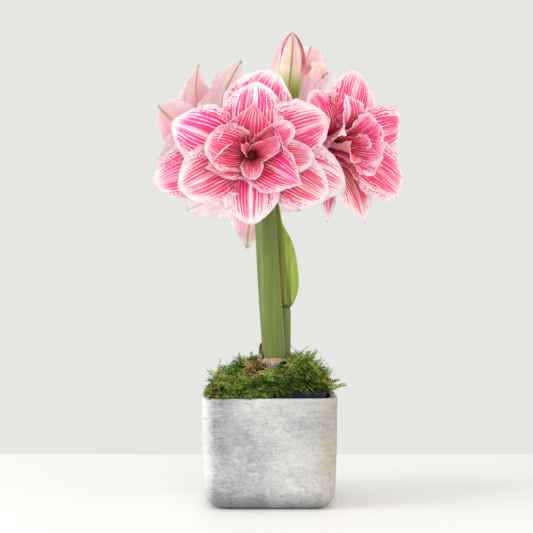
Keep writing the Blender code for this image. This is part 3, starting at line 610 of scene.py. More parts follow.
def link_piece(
    name: str,
    mesh: bpy.types.Mesh,
    finishes: Iterable[bpy.types.Material],
    nodes: Sequence[str] = (),
) -> bpy.types.Object:
    """Put a finished mesh into the scene and the frame.

    Args:
        name: The piece's name.
        mesh: Its mesh, with its place in it.
        finishes: Its materials, in the order of its faces' indices.
        nodes: The CAD nodes that it stands for.

    Returns:
        The piece.
    """
    for material in finishes:
        mesh.materials.append(material)
    mesh.shade_smooth()
    piece = bpy.data.objects.new(name, mesh)
    bpy.context.scene.collection.objects.link(piece)
    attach(piece, ROOT)
    if nodes:
        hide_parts(*nodes)
    mesh.calc_loop_triangles()
    LOG.info("%s: %d triangles", name, len(mesh.loop_triangles))
    return piece


def mesh_of(name: str, bm: bmesh.types.BMesh) -> bpy.types.Mesh:
    """Merge a bmesh's seams, turn its faces outwards and make it a mesh.

    Args:
        name: The mesh's name.
        bm: The bmesh, which is freed.

    Returns:
        The mesh.
    """
    bmesh.ops.remove_doubles(bm, verts=bm.verts, dist=MERGE)
    bmesh.ops.recalc_face_normals(bm, faces=bm.faces)
    mesh = bpy.data.meshes.new(name)
    bm.to_mesh(mesh)
    bm.free()
    return mesh


@dataclass(frozen=True)
class Station:
    """A cross-section of a stem or a bud: its centre, half width in X and half depth in Y."""

    centre: Vector
    wide: float
    deep: float


def round_stations(points: Iterable[Vector], radii: Iterable[float]) -> list[Station]:
    """Round cross-sections at points, each with its radius."""
    return [Station(Vector(point), radius, radius) for point, radius in zip(points, radii)]


def smooth_stations(stations: Sequence[Station], steps: int) -> list[Station]:
    """Fill in stations between the given ones, on smooth curves.

    Args:
        stations: The given stations.
        steps: How many to make between each two.

    Returns:
        All the stations.
    """
    rows = np.array([[*station.centre, station.wide, station.deep] for station in stations])
    slopes = np.gradient(rows, axis=0)
    filled = []
    for index in range(len(rows) - 1):
        for step in range(steps):
            t = step / steps
            near = (2 * t**3 - 3 * t**2 + 1) * rows[index] + (t**3 - 2 * t**2 + t) * slopes[index]
            far = (3 * t**2 - 2 * t**3) * rows[index + 1] + (t**3 - t**2) * slopes[index + 1]
            filled.append(near + far)
    filled.append(rows[-1])
    return [Station(Vector(row[:3]), row[3], row[4]) for row in filled]


def loft(bm: bmesh.types.BMesh, stations: Sequence[Station], sides: int) -> list[list[bmesh.types.BMVert]]:
    """Bridge rings of vertices through stations into a closed tube.

    Args:
        bm: The bmesh that gets the tube.
        stations: Its cross-sections, in order.
        sides: The number of its sides.

    Returns:
        The rings.
    """
    rings = []
    last = len(stations) - 1
    previous: list[bmesh.types.BMEdge] = []
    for index, station in enumerate(stations):
        ahead = stations[min(index + 1, last)].centre - stations[max(index - 1, 0)].centre
        turn = UP.rotation_difference(ahead).to_matrix().to_4x4()
        shape = Matrix.Diagonal((max(station.wide, 1e-5), max(station.deep, 1e-5), 1.0, 1.0))
        ring = bmesh.ops.create_circle(
            bm,
            cap_ends=index in (0, last),
            radius=1.0,
            segments=sides,
            matrix=Matrix.Translation(station.centre) @ turn @ shape,
        )["verts"]
        members = set(ring)
        edges = list({edge for vert in ring for edge in vert.link_edges if edge.other_vert(vert) in members})
        if previous:
            bmesh.ops.bridge_loops(bm, edges=previous + edges)
        previous = edges
        rings.append(ring)
    return rings


@dataclass(frozen=True)
class Tepal:
    """A petal in its bloom's frame, where +Z runs out of the throat, in degrees and metres.

    Its angle, reach and lift place its tip, and it has its full width at the share widest. It is bent
    by arch, belly, cup, sway, roll and twist, point narrows its tip, and wave, waves and frill unsettle
    its margin. From 0 to 1, bold is how white its rib is, and rich, coral and green are how much red,
    warmth and olive it has.
    """

    angle: float
    reach: float
    lift: float
    width: float
    arch: float = 0.016
    belly: float = 0.0
    cup: float = -0.15
    wave: float = 0.005
    waves: float = 2.2
    sway: float = 0.0
    roll: float = 0.0
    twist: float = 0.0
    widest: float = 0.65
    point: float = 0.14
    frill: float = 1.0
    bold: float = 0.35
    rich: float = 0.62
    coral: float = 0.0
    green: float = 0.3

    def spine(self, rows: int) -> np.ndarray:
        """Points down the midrib.

        Args:
            rows: The number of steps.

        Returns:
            An array of rows + 1 points.
        """
        angle = math.radians(self.angle)
        outward = Vector((math.cos(angle), math.sin(angle), 0.0))
        sideways = Vector((-math.sin(angle), math.cos(angle), 0.0))
        root = outward * PetalForm.ROOT_RADIUS + UP * PetalForm.ROOT
        mouth = max(PetalForm.MOUTH_SHARE * self.reach + PetalForm.MOUTH, self.belly)
        throat = outward * mouth + UP * (PetalForm.THROAT_RISE * self.lift + PetalForm.THROAT_HEIGHT)
        swell = max(PetalForm.CREST * self.reach, self.belly)
        crest = outward * swell + UP * (self.lift + self.arch) + sideways * self.sway * PetalForm.CREST_SWAY
        tip = outward * self.reach + UP * self.lift + sideways * self.sway
        return np.array(interpolate_bezier(root, throat, crest, tip, rows + 1))


class PetalForm:
    """Sizes that every petal shares, in metres, and the shape that they give."""

    ROOT_RADIUS = 0.0035
    ROOT = -0.024
    ROOT_HALF_WIDTH = 0.0035
    ROOT_CUP = 0.9
    HALF_THICKNESS = 0.00035
    SWELL = 1.4
    PLEAT = 0.047
    THROAT_RISE = 0.5
    THROAT_HEIGHT = 0.010
    MOUTH_SHARE = 0.06
    MOUTH = 0.0012
    CREST = 0.6
    CREST_SWAY = 0.3
    USUAL_WIDTH = 0.06
    TIP_FROM = 0.72
    RAGGED = 0.024
    FRAYED = 0.010
    FRILL = 0.0032
    RUFFLE = 0.0014
    BUCKLE = 0.0026
    CURL = 0.0026
    ROLL_FROM = 0.70

    @classmethod
    def half_width(cls, tepal: Tepal, share: np.ndarray) -> np.ndarray:
        """Half the petal's width at shares of its length.

        Args:
            tepal: The petal.
            share: The shares, from its root (0) to its tip (1).

        Returns:
            The half width at each.
        """
        fall = cls.SWELL * (1.0 - tepal.widest) / tepal.widest
        rising = (share / tepal.widest) ** cls.SWELL
        falling = ((1.0 - share) / (1.0 - tepal.widest)) ** fall
        near_tip = np.clip((share - cls.TIP_FROM) / (1.0 - cls.TIP_FROM), 0.0, 1.0)
        sharpened = 1.0 - tepal.point * near_tip**2 * (3.0 - 2.0 * near_tip)
        return cls.ROOT_HALF_WIDTH * (1.0 - share) + tepal.width / 2.0 * rising * falling * sharpened

    @staticmethod
    def unrest(place: np.ndarray, seed: float) -> np.ndarray:
        """A smooth uneven curve between about -1 and 1.

        Args:
            place: Where along the curve.
            seed: What makes the curve its own.

        Returns:
            Its height at each place.
        """
        slow = np.sin(place + seed) + 0.7 * np.sin(1.73 * place + 2.1 * seed)
        return (slow + 0.5 * np.sin(2.91 * place + 3.7 * seed)) / 1.8

    @classmethod
    def surface(cls, tepal: Tepal, rows: int, columns: int, seed: float) -> tuple[np.ndarray, np.ndarray]:
        """Shape a petal's middle surface.

        Args:
            tepal: The petal.
            rows: Steps along it.
            columns: Steps across it.
            seed: What makes its frill its own.

        Returns:
            Points, and for each its place across, along and towards the margin.
        """
        spine = tepal.spine(rows)
        share = np.linspace(0.0, 1.0, rows + 1)[:, None]
        side = np.linspace(-1.0, 1.0, columns + 1)[None, :]
        angle = math.radians(tepal.angle)
        sideways = np.array((-math.sin(angle), math.cos(angle), 0.0))
        along = np.gradient(spine, axis=0)
        front = np.cross(along, sideways)
        front /= np.linalg.norm(front, axis=1, keepdims=True)
        across = np.cross(front, along)
        across /= np.linalg.norm(across, axis=1, keepdims=True)
        hand = np.sign(side)
        ragged = cls.RAGGED * cls.unrest(22.0 * share + 9.0 * hand, seed)
        ragged = ragged + cls.FRAYED * cls.unrest(60.0 * share + 5.0 * hand, seed)
        whole = cls.half_width(tepal, share)
        turned = math.radians(tepal.twist) * share[:, 0][:, None]
        across, front = (
            across * np.cos(turned) + front * np.sin(turned),
            front * np.cos(turned) - across * np.sin(turned),
        )
        half = whole * (1.0 + min(tepal.frill, 1.3) * ragged * np.abs(side) ** 3)
        opened = np.sin(math.pi * np.minimum(share * 1.2, 1.0) / 2.0)
        bend = (tepal.cup * opened + cls.ROOT_CUP * (1.0 - share) ** 2) * np.abs(side) / 2.0
        middle = np.sin(math.pi * share)
        start = math.radians(5.0 * tepal.angle)
        ripple = np.sin(math.tau * tepal.waves * share + start + 1.3 * side)
        frill = tepal.wave * ripple * middle * np.abs(side) ** 3
        size = tepal.width / cls.USUAL_WIDTH * tepal.frill
        waved = cls.unrest(34.0 * share + 2.0 * side + 7.0 * hand, seed) * np.abs(side) ** 4
        ruffled = cls.unrest(88.0 * share - 1.5 * side + 4.0 * hand, seed) * np.abs(side) ** 7
        frill = frill + size * np.sqrt(middle) * (cls.FRILL * waved + cls.RUFFLE * ruffled)
        buckled = cls.unrest(6.0 * share + 2.6 * side, seed)
        buckled = buckled * cls.unrest(4.0 * side - 3.0 * share, seed + 5.0)
        frill = frill + cls.BUCKLE * tepal.width / cls.USUAL_WIDTH * buckled * middle
        pleat = cls.PLEAT * tepal.width * middle * (1.0 - np.abs(side)) ** 2
        rolled = np.maximum(0.0, (np.abs(side) - cls.ROLL_FROM) / (1.0 - cls.ROLL_FROM)) ** 2 * middle
        curl = tepal.roll + cls.CURL * tepal.frill * cls.unrest(8.0 * share + 3.0 * hand, seed + 2.0)
        raised = half * np.abs(side) * np.sin(bend) + frill - pleat + curl * rolled
        spread = half * side * np.cos(bend) - hand * np.abs(curl) * 0.5 * rolled
        lifted = front[:, None, :] * raised[..., None]
        points = spine[:, None, :] + across[:, None, :] * spread[..., None] + lifted
        narrowing = np.where(share > tepal.widest, (whole / whole.max()) ** 0.55, 1.0)
        lateral = side * narrowing
        way = np.stack(np.broadcast_arrays(lateral, share, np.abs(side)), axis=-1)
        return points, way


@dataclass
class Bloom:
    """A flower: petals in their layers round a funnel-shaped tube.

    The throat is where its petals part, and azimuth and elevation are the way it faces, in degrees.
    """

    name: str
    throat: tuple[float, float, float]
    azimuth: float
    elevation: float
    tepals: tuple[Tepal, ...]
    petaloids: tuple[Tepal, ...] = ()
    rows: int = 56
    columns: int = 30
    tube_length: float = 0.034
    tube_foot: float = 0.0048
    tube_wall: float = 0.0008
    funnel: tuple[tuple[float, float], ...] = ((-0.024, 0.0066), (-0.014, 0.0092), (-0.006, 0.0118))
    seed: int = 1

    def frame(self) -> Matrix:
        """The bloom's frame: its own +Z runs out of the throat, and its +Y up."""
        turn = Euler((math.radians(90.0 - self.elevation), 0.0, math.radians(self.azimuth)))
        return Matrix.LocRotScale(Vector(self.throat), turn, None)

    def along(self, distance: float) -> Vector:
        """A point on the bloom's axis."""
        return self.frame() @ Vector((0.0, 0.0, distance))

    def shape(self, tepal: Tepal, rows: int, columns: int, seed: float) -> tuple[np.ndarray, np.ndarray]:
        """Shape a petal of this flower, as PetalForm.surface does."""
        return PetalForm.surface(tepal, rows, columns, seed)

    def add_petal(self, bm: bmesh.types.BMesh, tepal: Tepal, rows: int, columns: int, seed: float) -> None:
        """Add one petal: a face and a back that meet at its margin.

        Args:
            bm: The bloom's bmesh, with its two layers.
            tepal: The petal.
            rows: Steps along it.
            columns: Steps across it.
            seed: What makes it its own.
        """
        way_layer = bm.verts.layers.float_vector["petal_way"]
        tone_layer = bm.verts.layers.float_vector["petal_tone"]
        own_layer = bm.verts.layers.float_vector["petal_own"]
        points, way = self.shape(tepal, rows, columns, seed)
        normals = np.cross(np.gradient(points, axis=0), np.gradient(points, axis=1))
        normals /= np.maximum(np.linalg.norm(normals, axis=2, keepdims=True), 1e-12)
        thick = PetalForm.HALF_THICKNESS * (1.0 - way[..., 2] ** 4) * (1.0 - way[..., 1] ** 6)
        tone = (tepal.rich, tepal.coral, tepal.green)
        for index, turn in enumerate((1.0, -1.0)):
            grid = bmesh.ops.create_grid(bm, x_segments=columns, y_segments=rows, size=1.0)["verts"]
            for vert in grid:
                column = round((vert.co.x + 1.0) / 2.0 * columns)
                row = round((vert.co.y + 1.0) / 2.0 * rows)
                inner = 0 < column < columns and 0 < row < rows
                offset = normals[row, column] * thick[row, column] * turn if inner else 0.0
                vert.co = Vector(points[row, column] + offset)
                vert[way_layer] = way[row, column]
                vert[tone_layer] = tone
                vert[own_layer] = ((seed * 0.317) % 1.0, tepal.bold, 0.0)
            for face in {face for vert in grid for face in vert.link_faces}:
                face.material_index = index
                if index == 0:
                    face.normal_flip()

    def add_tube(self, bm: bmesh.types.BMesh) -> None:
        """Add the funnel behind the throat, with a rim round the floor at its mouth.

        Args:
            bm: The bloom's bmesh.
        """
        heights, radii = zip((-self.tube_length, self.tube_foot), *self.funnel)
        centres = [UP * height for height in (*heights, heights[-1])]
        start = len(bm.faces)
        loft(bm, round_stations(centres, (*radii, radii[-1] - self.tube_wall)), 24)
        bm.faces.ensure_lookup_table()
        for face in bm.faces[start:]:
            middle = face.calc_center_median()
            outside = math.hypot(middle.x, middle.y) > np.interp(middle.z, heights, radii) - 0.0005
            face.material_index = 2 if outside and middle.z > -self.tube_length + 0.001 else 0

    def build(self, finishes: Sequence[bpy.types.Material]) -> bpy.types.Object:
        """Make the bloom.

        Args:
            finishes: The petals' face, their back, and the tube.

        Returns:
            The piece.
        """
        draw = random.Random(self.seed)
        bm = bmesh.new()
        bm.verts.layers.float_vector.new("petal_way")
        bm.verts.layers.float_vector.new("petal_tone")
        bm.verts.layers.float_vector.new("petal_own")
        for tepal in self.tepals:
            self.add_petal(bm, tepal, self.rows, self.columns, draw.uniform(0.0, 20.0))
        for petaloid in self.petaloids:
            self.add_petal(bm, petaloid, self.rows // 2, self.columns // 2, draw.uniform(0.0, 20.0))
        self.add_tube(bm)
        bmesh.ops.remove_doubles(bm, verts=bm.verts, dist=MERGE)
        for edge in bm.edges:
            # a margin that is shaded round would show as a grey line
            edge.smooth = len({face.material_index for face in edge.link_faces}) < 2
        mesh = mesh_of(self.name, bm)
        mesh.transform(self.frame())
        return link_piece(self.name + "_petals", mesh, finishes, [self.name])


@dataclass
class FlowerBud(Bloom):
    """The closed bud: three outer petals wrapped round an egg-shaped core."""

    base: float = -0.031
    tip: float = 0.0778
    keel: float = 0.0011
    crease: float = 0.0005
    profile: tuple[tuple[float, float], ...] = (
        (-0.034, 0.0046), (-0.020, 0.0078), (-0.004, 0.0108), (0.010, 0.0136),
        (0.022, 0.0163), (0.034, 0.0179), (0.044, 0.0175), (0.056, 0.0152),
        (0.067, 0.0102), (0.0745, 0.0042), (0.0778, 0.0004),
    )

    def stations(self) -> list[Station]:
        """The core's cross-sections."""
        heights, radii = zip(*self.profile)
        return smooth_stations(round_stations([UP * height for height in heights], radii), 4)

    def shape(self, tepal: Tepal, rows: int, columns: int, seed: float) -> tuple[np.ndarray, np.ndarray]:
        """Wrap a petal round the core.

        Args:
            tepal: The petal. Its width is half its spread in radians, its belly how far out it lies.
            rows: Steps along it.
            columns: Steps across it.
            seed: What makes its margins its own.

        Returns:
            As PetalForm.surface does.
        """
        stations = self.stations()
        share = np.linspace(0.0, 1.0, rows + 1)[:, None]
        side = np.linspace(-1.0, 1.0, columns + 1)[None, :]
        height = self.base + (self.tip - self.base) * share
        heights = [station.centre.z for station in stations]
        radius = np.interp(height, heights, [station.wide for station in stations])
        spread = tepal.width * (1.0 - 0.45 * share**2) * (1.0 + 0.03 * PetalForm.unrest(9.0 * share, seed))
        turn = math.radians(tepal.angle) + spread * side
        keel = self.keel * np.exp(-((side / 0.09) ** 2)) * np.sqrt(np.sin(math.pi * share))
        crease = -self.crease * np.abs(np.sin(5.0 * side * math.pi)) * np.sin(math.pi * share)
        radius = radius + (tepal.belly + keel + crease) * np.clip((1.0 - share) * 14.0, 0.0, 1.0)
        points = np.stack(np.broadcast_arrays(radius * np.cos(turn), radius * np.sin(turn), height), axis=-1)
        way = np.stack(np.broadcast_arrays(side, share, np.abs(side)), axis=-1)
        return points, way

    def add_tube(self, bm: bmesh.types.BMesh) -> None:
        """Add the core, in the place of an open bloom's tube.

        Args:
            bm: The bud's bmesh.
        """
        start = len(bm.faces)
        core = [Station(spot.centre * 0.99, spot.wide * 0.97, spot.deep * 0.97) for spot in self.stations()]
        loft(bm, core, 28)
        bm.faces.ensure_lookup_table()
        for face in bm.faces[start:]:
            face.material_index = 2


@dataclass
class Scape:
    """The thick flower stem with its pedicels and ovaries."""

    base: tuple[float, float, float] = (0.0074, 0.0, 0.1283)
    head: tuple[float, float, float] = (-0.008, 0.0, 0.3764)
    radius: float = 0.013
    pedicel: float = 0.0036
    ovary: float = 0.0058
    ovary_length: float = 0.016
    gap: float = 0.0003
    bow: float = 0.0006

    def pedicel_path(self, bloom: Bloom, start: Vector) -> list[Vector]:
        """A pedicel's curve from the stem's head to the foot of its ovary.

        Args:
            bloom: The flower that it carries.
            start: Where it leaves the stem.

        Returns:
            Its points.
        """
        foot = bloom.along(-bloom.tube_length - self.gap - self.ovary_length)
        facing = (Vector(bloom.throat) - bloom.along(-1.0)).normalized()
        span = (foot - start).length
        outward = Vector((foot.x - start.x, foot.y - start.y, 0.0)).normalized()
        rise = (UP + outward * 0.8).normalized()
        return interpolate_bezier(start, start + rise * span * 0.4, foot - facing * span * 0.35, foot, 14)

    def build(self, blooms: Sequence[Bloom], green: bpy.types.Material) -> bpy.types.Object:
        """Make the stem with all that grows from its head.

        Args:
            blooms: The flowers that it carries.
            green: Its finish.

        Returns:
            The piece.
        """
        base, head = Vector(self.base), Vector(self.head)
        bm = bmesh.new()
        middle = base.lerp(head, 0.5) - Vector((self.bow, 0.0, 0.0))
        neck = base.lerp(head, 0.93)
        crown = head + UP * 0.006
        points = (base, middle, neck, head, crown)
        shares = (1.0, 1.0, 0.9, 0.8, 0.45)
        stations = round_stations(points, [self.radius * share for share in shares])
        loft(bm, smooth_stations(stations, 8), 40)
        for bloom in blooms:
            path = self.pedicel_path(bloom, head - UP * 0.003)
            loft(bm, round_stations(path, [self.pedicel] * len(path)), 14)
            foot = bloom.along(-bloom.tube_length - self.gap - self.ovary_length - 0.003)
            top = bloom.along(-bloom.tube_length - self.gap)
            centres = [foot.lerp(top, share) for share in (0.0, 0.3, 0.65, 1.0)]
            radii = (0.9 * self.pedicel, self.ovary, self.ovary, bloom.tube_foot)
            loft(bm, smooth_stations(round_stations(centres, radii), 4), 18)
        return link_piece("scape", mesh_of("scape", bm), [green], ["flower_stem"])


@dataclass
class SecondScape:
    """The thinner stem behind, with the closed green spathe on its collar."""

    base: tuple[float, float, float] = (0.0155, 0.0212, 0.1283)
    top: tuple[float, float, float] = (0.0172, 0.0212, 0.2192)
    radius: float = 0.0078
    collar: float = 0.007
    sections: tuple[tuple[float, float, float, float, float], ...] = (
        (0.0172, 0.0212, 0.2188, 0.0060, 0.0060),
        (0.0171, 0.0216, 0.2250, 0.0105, 0.0085),
        (0.0166, 0.0246, 0.2370, 0.0150, 0.0108),
        (0.0164, 0.0260, 0.2508, 0.0163, 0.0118),
        (0.0152, 0.0262, 0.2762, 0.0146, 0.0112),
        (0.0126, 0.0258, 0.2936, 0.0124, 0.0100),
        (0.0100, 0.0248, 0.3074, 0.0084, 0.0078),
        (0.0090, 0.0244, 0.3179, 0.0052, 0.0056),
        (0.0078, 0.0240, 0.3340, 0.0034, 0.0038),
        (0.0070, 0.0236, 0.3464, 0.0010, 0.0012),
    )

    def build_stem(self, green: bpy.types.Material) -> bpy.types.Object:
        """Make the stem.

        Args:
            green: Its finish.

        Returns:
            The piece.
        """
        base, top = Vector(self.base), Vector(self.top)
        below = top - (top - base).normalized() * self.collar
        points = (base, base.lerp(top, 0.5), below, top)
        shares = (1.0, 1.0, 0.92, 0.78)
        stations = round_stations(points, [self.radius * share for share in shares])
        bm = bmesh.new()
        loft(bm, smooth_stations(stations, 6), 28)
        return link_piece("second_scape", mesh_of("second_scape", bm), [green], ["bud_stem"])

    def build_spathe(self, finish: bpy.types.Material) -> bpy.types.Object:
        """Make the spathe: two valves that meet in a keel on each side, with a seam between them.

        Args:
            finish: Its material.

        Returns:
            The piece.
        """
        stations = [Station(Vector(row[:3]), row[3], row[4]) for row in self.sections]
        bm = bmesh.new()
        rings = loft(bm, smooth_stations(stations, 6), 48)
        for ring in rings:
            centre = sum((vert.co for vert in ring), Vector()) / len(ring)
            for vert in ring:
                way = vert.co - centre
                turn = math.atan2(way.y, way.x)
                keel = 0.10 * abs(math.cos(turn)) ** 8
                seam = -0.07 * math.exp(-((turn + 1.15) / 0.10) ** 2)
                vert.co = centre + way * (1.0 + keel + seam - 0.03)
        return link_piece("spathe", mesh_of("spathe", bm), [finish], ["spathe_bud"])


def round_edges(
    bm: bmesh.types.BMesh, edges: list[bmesh.types.BMEdge], radius: float, steps: int
) -> None:
    """Round edges off to a radius, in a number of steps."""
    bmesh.ops.bevel(
        bm, geom=edges, offset=radius, segments=steps, profile=0.5, affect="EDGES", material=-1
    )


@dataclass
class Pots:
    """The square concrete pot and the thin plastic pot that stands in it."""

    width: float = 0.150
    foot_width: float = 0.1445
    height: float = 0.1224
    wall: float = 0.008
    floor: float = 0.012
    corner: float = 0.024
    foot_rounding: float = 0.019
    nursery_width: float = 0.125
    nursery_foot: float = 0.104
    nursery_bottom: float = 0.0123
    nursery_top: float = 0.1289
    nursery_wall: float = 0.0014
    nursery_corner: float = 0.012
    well_taper: float = 0.955
    nursery_taper: float = 0.83
    uneven: float = 0.0005
    lumps: float = 28.0

    def block(
        self, width: float, foot_width: float, bottom: float, top: float, corner: float, steps: int
    ) -> bmesh.types.BMesh:
        """A square block with rounded upright edges, narrower at its foot.

        Args:
            width: Its width at the top.
            foot_width: Its width at the foot.
            bottom: The height of its foot.
            top: The height of its top.
            corner: The radius of its upright edges.
            steps: How many faces round each of them.

        Returns:
            The bmesh.
        """
        bm = bmesh.new()
        size = Matrix.Diagonal((width, width, top - bottom, 1.0))
        middle = (top + bottom) / 2.0
        bmesh.ops.create_cube(bm, size=1.0, matrix=Matrix.Translation(UP * middle) @ size)
        for vert in bm.verts:
            if vert.co.z < middle:
                vert.co.x *= foot_width / width
                vert.co.y *= foot_width / width
        upright = [edge for edge in bm.edges if abs(edge.verts[0].co.z - edge.verts[1].co.z) > MERGE]
        round_edges(bm, upright, corner, steps)
        return bm

    def hollow(self, bm: bmesh.types.BMesh, top: float, wall: float, floor: float, taper: float) -> None:
        """Sink a well into a block's top and round the rim.

        Args:
            bm: The block.
            top: The height of its top.
            wall: The wall's thickness.
            floor: The height of the well's floor.
            taper: How much narrower the well's floor is than its mouth, as a share.
        """
        lid = max(bm.faces, key=lambda face: face.calc_center_median().z)
        bmesh.ops.inset_region(bm, faces=[lid], thickness=wall, use_even_offset=True)
        lid = max(bm.faces, key=lambda face: (round(face.calc_center_median().z, 5), len(face.verts)))
        pushed = bmesh.ops.extrude_face_region(bm, geom=[lid])["geom"]
        verts = [item for item in pushed if isinstance(item, bmesh.types.BMVert)]
        bmesh.ops.delete(bm, geom=[lid], context="FACES")
        for vert in verts:
            vert.co = Vector((vert.co.x * taper, vert.co.y * taper, floor))
        rim = [
            edge
            for edge in bm.edges
            if all(abs(vert.co.z - top) < MERGE for vert in edge.verts)
            and any(abs(face.normal.z) < 0.5 for face in edge.link_faces)
        ]
        round_edges(bm, rim, wall * 0.28, 3)

    def build_concrete(self, finish: bpy.types.Material) -> bpy.types.Object:
        """Make the concrete pot, with the slight unevenness that its mould leaves.

        Args:
            finish: Its material.

        Returns:
            The piece.
        """
        bm = self.block(self.width, self.foot_width, 0.0, self.height, self.corner, 14)
        foot = [edge for edge in bm.edges if all(abs(vert.co.z) < MERGE for vert in edge.verts)]
        round_edges(bm, foot, self.foot_rounding, 9)
        bm.normal_update()
        self.hollow(bm, self.height, self.wall, self.floor, self.well_taper)
        long_edges = [edge for edge in bm.edges if edge.calc_length() > 0.05 and len(edge.link_faces) == 2]
        bmesh.ops.subdivide_edges(bm, edges=long_edges, cuts=9, use_grid_fill=True)
        bm.normal_update()
        for vert in bm.verts:
            if 0.004 < vert.co.z < self.height - 0.0005:
                vert.co += vert.normal * self.uneven * noise.noise(vert.co * self.lumps)
        return link_piece("concrete_pot", mesh_of("concrete_pot", bm), [finish], ["pot"])

    def build_nursery(self, finish: bpy.types.Material) -> bpy.types.Object:
        """Make the plastic pot.

        Args:
            finish: Its material.

        Returns:
            The piece.
        """
        bm = self.block(
            self.nursery_width,
            self.nursery_foot,
            self.nursery_bottom,
            self.nursery_top,
            self.nursery_corner,
            9,
        )
        bm.normal_update()
        floor = self.nursery_bottom + self.nursery_wall
        self.hollow(bm, self.nursery_top, self.nursery_wall, floor, self.nursery_taper)
        mesh = mesh_of("plastic_pot", bm)
        return link_piece("plastic_pot", mesh, [finish], ["nursery_pot"])


@dataclass
class BulbNeck:
    """The bulb's neck: torn papery skins round it and the cut bases of old leaves."""

    centre: tuple[float, float, float] = (0.0080, 0.0075, 0.0)
    wide: float = 0.0207
    deep: float = 0.0270
    foot: float = 0.1475
    top: float = 0.1655
    wall: float = 0.0006
    stub_inset: float = 0.0014
    stub_half: float = 0.0008
    stub_curl: float = 0.0012
    dried_from: float = 0.72

    def way(self, angle: float) -> Vector:
        """The level direction out of the oval neck at an angle."""
        return Vector((math.cos(angle) * self.deep, math.sin(angle) * self.wide, 0.0)).normalized()

    def point(self, angle: float, clearance: float) -> Vector:
        """A point round the oval neck, outside its skin's inner face by a clearance."""
        oval = Vector((math.cos(angle) * self.wide, math.sin(angle) * self.deep, 0.0))
        return Vector(self.centre) + oval + self.way(angle) * clearance

    def add_skin(
        self,
        bm: bmesh.types.BMesh,
        start: float,
        sweep: float,
        flares: tuple[float, float],
        heights: tuple[float, float],
        torn: float,
        index: int,
        seed: float,
    ) -> None:
        """Add one curved skin with a torn upper edge.

        Args:
            bm: The bmesh that gets it.
            start: The angle where it starts, in degrees.
            sweep: How far round it goes, in degrees.
            flares: Its clearance from the neck at its foot and at its top.
            heights: The height of its foot and of its top.
            torn: How deep its tears go.
            index: Its material's index.
            seed: What makes its tears its own.
        """
        columns, rows = max(8, int(sweep / 3.0)), 10
        for layer in (0.0, 1.0):
            grid = bmesh.ops.create_grid(bm, x_segments=columns, y_segments=rows, size=0.5)["verts"]
            for vert in grid:
                turn, share = vert.co.x + 0.5, vert.co.y + 0.5
                angle = math.radians(start + sweep * turn)
                ragged = noise.noise(Vector((turn * sweep / 16.0, seed, 0.0)))
                ragged += 0.5 * noise.noise(Vector((turn * sweep / 5.0, seed, 3.0)))
                height = heights[0] + (heights[1] - heights[0] + torn * ragged) * share
                crinkle = 0.0005 * noise.noise(Vector((turn * sweep / 9.0, share * 3.0, seed)))
                rim = column_edge(turn) * row_edge(share)
                flare = flares[0] + (flares[1] - flares[0]) * share**2 + crinkle
                vert.co = self.point(angle, flare + self.wall * layer * rim) + UP * height
            for face in {face for vert in grid for face in vert.link_faces}:
                face.material_index = index

    def build_tunic(self, finishes: Sequence[bpy.types.Material]) -> bpy.types.Object:
        """Make the skins.

        Args:
            finishes: The orange inner skin and the grey outer one.

        Returns:
            The piece.
        """
        bm = bmesh.new()
        self.add_skin(bm, 0.0, 360.0, (0.0003, 0.0007), (self.foot, self.top - 0.0032), 0.0018, 0, 1.7)
        self.add_skin(bm, 205.0, 80.0, (0.0008, 0.0012), (self.foot, 0.1603), 0.003, 1, 4.1)
        self.add_skin(bm, 282.0, 110.0, (0.0009, 0.0014), (self.foot, 0.1606), 0.003, 1, 7.9)
        self.add_skin(bm, 30.0, 150.0, (0.0009, 0.0014), (self.foot, 0.1630), 0.004, 1, 2.9)
        mesh = mesh_of("papery_skins", bm)
        return link_piece("papery_skins", mesh, finishes, ["bulb_tunic"])

    def build_stub(
        self,
        name: str,
        node: str,
        start: float,
        sweep: float,
        top: float,
        finishes: Sequence[bpy.types.Material],
    ) -> bpy.types.Object:
        """Make the cut base of an old leaf: a thick curled strip with a dried brown edge.

        Args:
            name: The piece's name.
            node: The CAD node that it stands for.
            start: The angle where it starts, in degrees.
            sweep: How far round it goes, in degrees.
            top: The height of its cut.
            finishes: Its green flesh and its dried edge.

        Returns:
            The piece.
        """
        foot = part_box(node)[0].z
        bm = bmesh.new()
        columns, rows = 14, 12
        for layer in (-1.0, 1.0):
            grid = bmesh.ops.create_grid(bm, x_segments=columns, y_segments=rows, size=0.5)["verts"]
            for vert in grid:
                turn, share = vert.co.x + 0.5, vert.co.y + 0.5
                angle = math.radians(start + sweep * turn)
                crown = top - 0.5 * (top - foot) * (2.0 * turn - 1.0) ** 2
                rim = column_edge(turn) * row_edge(share)
                curl = self.stub_curl * share**3
                level = -self.stub_inset + self.stub_half * layer * rim + curl
                vert.co = self.point(angle, level) + UP * (foot + (crown - foot) * share)
            for face in {face for vert in grid for face in vert.link_faces}:
                highest = max(vert.co.z for vert in face.verts)
                face.material_index = 1 if highest > foot + self.dried_from * (top - foot) else 0
        return link_piece(name, mesh_of(name, bm), finishes, [node])


def column_edge(turn: float) -> float:
    """How thick a skin is near its two sides: 0 on them, 1 inside."""
    return min(1.0, 12.0 * min(turn, 1.0 - turn))


def row_edge(share: float) -> float:
    """How thick a skin is near its foot and top: 0 on them, 1 inside."""
    return min(1.0, 10.0 * min(share, 1.0 - share))


def square_reach(half: float, corner: float, angle: float) -> float:
    """How far a rounded square's edge lies from its centre, in a direction.

    Args:
        half: Half the square's width.
        corner: The radius of its corners.
        angle: The direction, in radians.

    Returns:
        The distance.
    """
    x, y = sorted((abs(math.cos(angle)), abs(math.sin(angle))), reverse=True)
    straight = half - corner
    distance = half / x
    if distance * y <= straight:
        return distance
    along = straight * (x + y)
    return along + math.sqrt(along * along - 2.0 * straight * straight + corner * corner)


